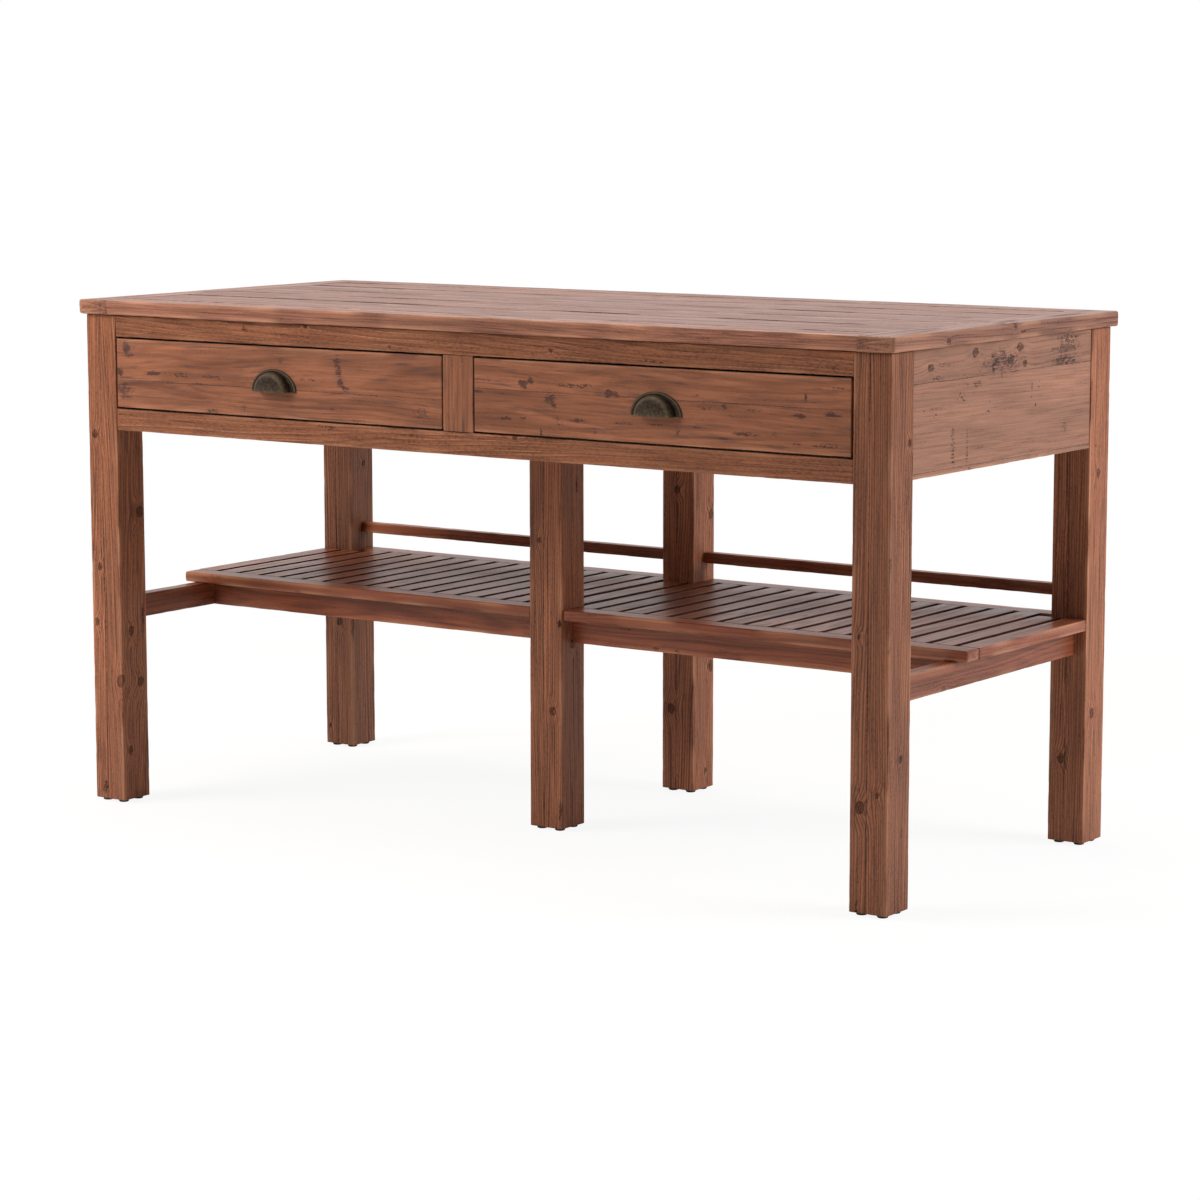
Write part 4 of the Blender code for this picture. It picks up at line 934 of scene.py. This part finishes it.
class IslandPulls(bpy.types.Operator):
    """Half-round cup pulls: a flat-faced cup, its beaded rim and a rolled lip."""

    bl_idname = "island.pulls"
    bl_label = "Cup pulls"

    # Half width, height and depth of the cup, its distance from the drawer, and the power of its shoulder
    cup = np.array([34.5, 33.0, 19.0]) * MM
    stand = 1.4 * MM
    power = 3.4
    # Section of the rim from its outer edge inward, with its height above the drawer, in mm
    rim_section = ((0.0, 0.1), (0.0, 1.0), (0.5, 1.4), (1.5, 1.5), (1.9, 2.4), (2.5, 2.8), (3.1, 2.4),
                   (3.5, 1.3), (4.2, 1.1), (4.8, 1.6), (8.0, 2.0), (16.5, 1.9), (17.0, 0.1))
    # The rim is lower than the CAD pull by this
    rim_drop = 2 * MM
    arc_points = 65
    rise_points = 33
    bead_points = 12

    def execute(self, context):
        for side, _ in SIDES:
            low, high = corners(f"drawer_{side}_pull")
            place = np.array([(low[0] + high[0]) / 2, high[1], low[2]])
            half_width, height = (high[0] - low[0]) / 2, high[2] - low[2] - self.rim_drop
            self.make_cup(side, place, context.scene.island_sizes.pull_wall)
            self.make_rim(side, place, half_width, height)
            self.make_lip(side, place, context.scene.island_sizes.pull_lip)
        return {"FINISHED"}

    @staticmethod
    def cast(side, part, points, quads, triangles, rub_and_highlight, nodes=()):
        """A bronze piece of the pull on one drawer; rub says where hands polish it and a highlight is
        painted.
        """
        material, body = bpy.data.materials[BRONZE.material], f"drawer_{side}"
        return piece_from(f"{body}_pull_{part}", points, quads, triangles, material, body, nodes,
                          {"rub_and_highlight": rub_and_highlight})

    def lower_edge(self, turn):
        """Half a superellipse: half width times cos and depth times sin, both to the power 2 / p."""
        share = 2 / self.power
        x = np.sign(np.cos(turn)) * np.abs(np.cos(turn)) ** share
        return np.stack([x * self.cup[0], -np.abs(np.sin(turn)) ** share * self.cup[2]], -1)

    def make_cup(self, side, place, wall):
        """Half an ellipse, narrowed by cos(rise) ^ (2 / p), moved out by sin(rise) ^ (2 / p), to a pole."""
        rise = np.linspace(0, np.pi / 2, self.rise_points)[:-1]
        turn = np.linspace(0, np.pi, self.arc_points)
        share = 2 / self.power
        grid = np.empty((len(rise), len(turn), 3))
        grid[..., [0, 2]] = np.stack([np.cos(turn), np.sin(turn)], 1) * self.cup[:2]
        grid[..., [0, 2]] *= (np.cos(rise) ** share)[:, None, None]
        grid[..., 1] = -self.stand - (self.cup[2] * np.sin(rise) ** share)[:, None]
        points = np.concatenate([grid.reshape(-1, 3), [(0.0, -self.stand - self.cup[2], 0.0)]])
        index = np.arange(grid[..., 0].size).reshape(grid.shape[:2])
        quads = np.stack([index[:-1, 1:], index[:-1, :-1], index[1:, :-1], index[1:, 1:]], -1).reshape(-1, 4)
        pole = np.full(len(turn) - 1, len(points) - 1)
        triangles = np.stack([index[-1, 1:], index[-1, :-1], pole], -1)
        # Hands polish the lower edge and the shoulder, and these bands are also a painted highlight
        out = np.linalg.norm(points[:, [0, 2]] / self.cup[:2], axis=1)
        rub_and_highlight = 0.35 * np.exp(-points[:, 2] / (4 * MM)) + 0.35 * np.exp(-((out - 0.88) / 0.07) ** 2)
        piece = self.cast(side, "cup", points + place, quads, triangles, rub_and_highlight, (f"drawer_{side}_pull",))
        shell = piece.modifiers.new("wall", "SOLIDIFY")
        shell.thickness = wall
        shell.offset = -1.0

    def make_rim(self, side, place, half_width, height):
        """The section carried round half an ellipse, square to it."""
        turn = np.linspace(0, np.pi, self.arc_points)
        axes = np.array([half_width, height])
        path = np.stack([np.cos(turn), np.sin(turn)], 1) * axes
        square = np.stack([np.cos(turn), np.sin(turn)], 1) / axes
        square /= np.linalg.norm(square, axis=1, keepdims=True)
        inward, front = np.array(self.rim_section).T * MM
        grid = np.empty((len(turn), len(inward), 3))
        grid[..., [0, 2]] = path[:, None] - inward[:, None] * square[:, None]
        grid[..., 1] = -front
        points = np.concatenate([grid.reshape(-1, 3), grid[[0, -1]].mean(1)])
        points[:, 2] = points[:, 2].clip(0)
        quads, triangles = closed_tube(len(turn), len(inward), True)
        # The bead is painted bright: polish and a painted highlight
        bead = np.exp(-((inward - 2.4 * MM) / (0.7 * MM)) ** 2) * 0.7
        rub_and_highlight = np.concatenate([np.tile(bead, len(turn)), [0, 0]])
        self.cast(side, "rim", points + place, quads, triangles, rub_and_highlight)

    def make_lip(self, side, place, radius):
        """A round bead along the cup's lower edge."""
        short = 0.06
        turn = np.linspace(short, np.pi - short, self.arc_points)
        path = self.lower_edge(turn)
        heading = np.gradient(path, axis=0)
        square = np.stack([heading[:, 1], -heading[:, 0]], 1)
        square /= np.linalg.norm(square, axis=1, keepdims=True)
        round_turn = np.linspace(0, 2 * np.pi, self.bead_points, endpoint=False)
        grid = np.empty((len(turn), len(round_turn), 3))
        grid[..., :2] = path[:, None] + (radius * np.cos(round_turn))[:, None] * square[:, None]
        grid[..., 1] -= self.stand
        grid[..., 2] = radius * (1 + np.sin(round_turn))
        points = np.concatenate([grid.reshape(-1, 3), grid[[0, -1]].mean(1)])
        quads, triangles = closed_tube(len(turn), len(round_turn), True)
        # The lip is painted bright all along: polish and a painted highlight
        self.cast(side, "lip", points + place, quads, triangles, np.full(len(points), 0.7))


class IslandDrawerBoxes(bpy.types.Operator):
    """Finishes for the drawer boxes and what they run on, which keep their CAD shapes."""

    bl_idname = "island.drawer_boxes"
    bl_label = "Drawer boxes and runners"

    def execute(self, context):
        along_y = ("_side_", "runner_", "kicker_", "centre_bearer_")
        for name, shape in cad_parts.items():
            if name.endswith("_bottom"):
                shape.material_slots[0].material = bpy.data.materials["birch_plywood"]
            elif name.startswith("drawer_") and name.endswith("_back"):
                shape.material_slots[0].material = bpy.data.materials["planed_raw_pine_x"]
            elif any(part in name for part in along_y):
                shape.material_slots[0].material = bpy.data.materials["planed_raw_pine_y"]
        return {"FINISHED"}


class IslandShelf(bpy.types.Operator):
    """Shelf slats, the rails in front of and behind them, and the slat behind the middle leg."""

    bl_idname = "island.shelf"
    bl_label = "Slatted shelf"

    def execute(self, context):
        seat, worn, gap, rail_width, slats_each_side = 0.3 * MM, 1.4 * MM, 9 * MM, 40 * MM, 16
        low, high = corners("shelf_slats_right")
        leg_low = corners("leg_back_right")[0]
        pitch = (2 * high[0] + gap) / (2 * slats_each_side + 1)
        width = pitch - gap
        back_rail = corners("shelf_back_rail_right")[0][1] - seat
        front = low[1] + rail_width
        step = 2 * context.scene.island_sizes.grid
        slat = {"heart": (0.0, -70 * MM), "rounds": (1 * MM,) * 4, "step": step}
        for side, sign in SIDES:
            left, right = sorted((sign * low[0], sign * high[0]))
            # The rail's back face, at the slats, carries stain and painted shade
            timber(f"shelf_front_rail_{side}_wood", (left, low[1], low[2]), (right, front - seat, high[2]),
                   "X", SHELF, nodes=(f"shelf_slats_{side}",), rounds=(1 * MM, 3 * MM, 3 * MM, 1 * MM),
                   end_round=5 * MM, heart=(40 * MM, 30 * MM), pooled=(0.5, 0, 0, 0, 0),
                   marks=Marks(loose_knots=1, loose_stains=4))
            for number in range(1, slats_each_side + 1):
                inner = max(number * pitch - width / 2, low[0])
                outer = number * pitch + width / 2
                stop = back_rail if outer <= leg_low[0] else leg_low[1] - seat
                left, right = sorted((sign * inner, sign * outer))
                # Stain and painted shade lie in the gaps, and the outermost slats have none on their free
                # side
                pooled = (sign * number < slats_each_side, 0, -sign * number < slats_each_side, 0, 1)
                timber(f"shelf_slat_{side}_{number:02d}_wood", (left + worn, front, low[2]),
                       (right - worn, stop, high[2]), "Y", SHELF, end_round=1 * MM, pooled=pooled,
                       marks=Marks(loose_knots=int(number % 3 == 0), loose_stains=1), **slat)
            dressed(f"shelf_back_rail_{side}", "X", SHELF, (0, 0), marks=Marks(loose_knots=2))
        # The centre slat carries stain and painted shade in its gaps and at its ends
        dressed("shelf_slat_centre", "Y", SHELF, (0, 0), pooled=(1, 0, 1, 0, 1), **slat)
        return {"FINISHED"}


class IslandCarriers(bpy.types.Operator):
    """Stretchers, aprons and the guard rail."""

    bl_idname = "island.carriers"
    bl_label = "Shelf carriers"

    def execute(self, context):
        for place in ("left", "middle", "right"):
            dressed(f"shelf_stretcher_{place}", "Y", SHELF, marks=Marks(loose_knots=2))
        for side, sign in SIDES:
            to_middle_leg = (TENON, STUB) if sign > 0 else (STUB, TENON)
            # The guard rail is painted lighter, as painted light on a rail that stands in shade
            for name, trim, shade in (("shelf_apron_front", to_middle_leg, 0.15),
                                      ("shelf_apron_back", (TENON, TENON), 0.15),
                                      ("guard_rail", (TENON, TENON), 0.35)):
                dressed(f"{name}_{side}", "X", SHELF, trim, shade=shade,
                        marks=Marks(loose_knots=1, loose_stains=2))
        return {"FINISHED"}


class IslandStage(bpy.types.Operator):
    """Floor, light and camera."""

    bl_idname = "island.stage"
    bl_label = "Studio"

    def execute(self, context):
        scene = context.scene
        scene.view_settings.view_transform = "Standard"
        self.floor(scene)
        self.world(scene)
        self.lamps(scene)
        self.camera(scene)
        return {"FINISHED"}

    @staticmethod
    def shown(tree, straight, gloss):
        """What is seen straight or through glass, or else in gloss; 0 for light that lands on things."""
        path = node(tree, "LightPath").outputs
        seen = (path["Is Camera Ray"], path["Is Transmission Ray"])
        seen = node(tree, "Math", seen, operation="MAXIMUM").outputs[0]
        seen = node(tree, "Math", (seen, straight), operation="MULTIPLY").outputs[0]
        return node(tree, "Math", (path["Is Glossy Ray"], gloss, seen), operation="MULTIPLY_ADD").outputs[0]

    def floor(self, scene):
        """A pale floor that shows white and keeps a faint shadow; in gloss it is darker in front."""
        reach = np.linspace(-20, 20, 9)
        x, y = np.meshgrid(reach, reach)
        points = np.stack([x.ravel(), y.ravel(), np.zeros(x.size)], 1)
        index = np.arange(x.size).reshape(x.shape)
        quads = np.stack([index[:-1, :-1], index[:-1, 1:], index[1:, 1:], index[1:, :-1]], -1).reshape(-1, 4)
        mesh = bpy.data.meshes.new("studio_floor")
        mesh.from_pydata(points.tolist(), [], quads.tolist())
        tree, shader = new_material("pale_studio_floor")
        add = partial(node, tree)
        fill(tree, shader, {"Base Color": linear("f4eadf"), "Roughness": 0.9})
        place = add("TexCoord").outputs["Object"]
        away = add("VectorMath", (place,), operation="LENGTH").outputs["Value"]
        straight = {"Value": away, "From Min": 1.4, "From Max": 2.6, "To Min": 0.9, "To Max": 1.0}
        straight = add("MapRange", straight).outputs["Result"]
        back = add("SeparateXYZ", (place,)).outputs["Y"]
        gloss = {"Value": back, "From Min": -1.5, "From Max": 3.0, "To Min": 0.05, "To Max": 0.5}
        gloss = add("MapRange", gloss).outputs["Result"]
        glow = add("Emission", {"Color": linear("ffffff"), "Strength": 1.0}).outputs[0]
        mix = add("MixShader", (self.shown(tree, straight, gloss), shader.outputs[0], glow)).outputs[0]
        tree.links.new(mix, tree.nodes["Material Output"].inputs["Surface"])
        mesh.materials.append(bpy.data.materials["pale_studio_floor"])
        floor = bpy.data.objects.new("studio_floor", mesh)
        scene.collection.objects.link(floor)

    def world(self, scene):
        """White where it is seen, in gloss too, and a soft grey as light."""
        ambient = 0.21
        world = bpy.data.worlds.new("studio")
        scene.world = world
        world.use_nodes = True
        tree = world.node_tree
        share = self.shown(tree, 1.0, 1.0)
        strength = node(tree, "Math", (share, ambient), operation="MAXIMUM").outputs[0]
        fill(tree, tree.nodes["Background"], {"Color": linear("ffffff"), "Strength": strength})

    def lamps(self, scene):
        """Soft boxes to the left of the camera, behind on the right and overhead.

        The side boxes are kept out of the gloss, because their images would bleach the top in some views.
        """
        boxes = (("left_box", (-2.35, -2.55, 2.6), (-0.5, -0.3, 0.5), 1.8, 169.0, "f4f8ff", False),
                 ("right_box", (3.85, 1.2, 1.95), (0.6, 0.0, 0.5), 2.0, 198.0, "e9f1ff", False),
                 ("top_box", (-0.6, 0.4, 4.0), (-0.1, 0.0, 0.6), 2.6, 110.0, "ffffff", True))
        for name, place, target, size, power, colour, mirrored in boxes:
            lamp = bpy.data.lights.new(name, "AREA")
            lamp.shape = "SQUARE"
            lamp.size = size
            lamp.energy = power
            lamp.color = linear(colour)[:3]
            thing = bpy.data.objects.new(name, lamp)
            thing.location = place
            thing.visible_glossy = mirrored
            thing.rotation_euler = (Vector(target) - Vector(place)).to_track_quat("-Z", "Y").to_euler()
            scene.collection.objects.link(thing)

    def camera(self, scene):
        """Turned by yaw, pitch and roll about its place."""
        yaw, pitch, roll = CAMERA_YAW, CAMERA_PITCH, CAMERA_ROLL
        forward = Vector((-np.sin(yaw) * np.cos(pitch), np.cos(yaw) * np.cos(pitch), -np.sin(pitch)))
        right = Vector((np.cos(yaw), np.sin(yaw), 0.0))
        up = right.cross(forward)
        right, up = np.cos(roll) * right + np.sin(roll) * up, np.cos(roll) * up - np.sin(roll) * right
        lens = bpy.data.cameras.new("camera")
        lens.sensor_width = SENSOR_WIDTH
        lens.lens = FOCAL_PIXELS / IMAGE_PIXELS * SENSOR_WIDTH
        camera = bpy.data.objects.new("camera", lens)
        turned = Matrix((right, up, -forward)).transposed().to_4x4()
        camera.matrix_world = Matrix.Translation(CAMERA_PLACE) @ turned
        scene.collection.objects.link(camera)
        scene.camera = camera


class IslandPanel(bpy.types.Panel):
    """Settings and steps in the sidebar."""

    bl_idname = "VIEW3D_PT_island"
    bl_label = "Kitchen island"
    bl_space_type = "VIEW_3D"
    bl_region_type = "UI"
    bl_category = "Island"

    def draw(self, context):
        for step in STEPS:
            self.layout.operator(step.bl_idname)
        for group in (context.scene.island_sizes, context.scene.island_colours):
            column = self.layout.column(align=True)
            for key in type(group).__annotations__:
                column.prop(group, key)


STEPS = (IslandMaterials, IslandTop, IslandLegs, IslandGlides, IslandFront, IslandPanels, IslandDrawerFronts,
         IslandPulls, IslandDrawerBoxes, IslandShelf, IslandCarriers, IslandStage)
CLASSES = (IslandSizes, IslandColours, *STEPS, IslandPanel)


def register():
    for item in CLASSES:
        bpy.utils.register_class(item)
    bpy.types.Scene.island_sizes = bpy.props.PointerProperty(type=IslandSizes)
    bpy.types.Scene.island_colours = bpy.props.PointerProperty(type=IslandColours)


def unregister():
    del bpy.types.Scene.island_colours
    del bpy.types.Scene.island_sizes
    for item in reversed(CLASSES):
        bpy.utils.unregister_class(item)


def main():
    """Make every piece in order."""
    register()
    for step in STEPS:
        group, action = step.bl_idname.split(".")
        getattr(getattr(bpy.ops, group), action)()


if __name__ == "__main__":
    main()
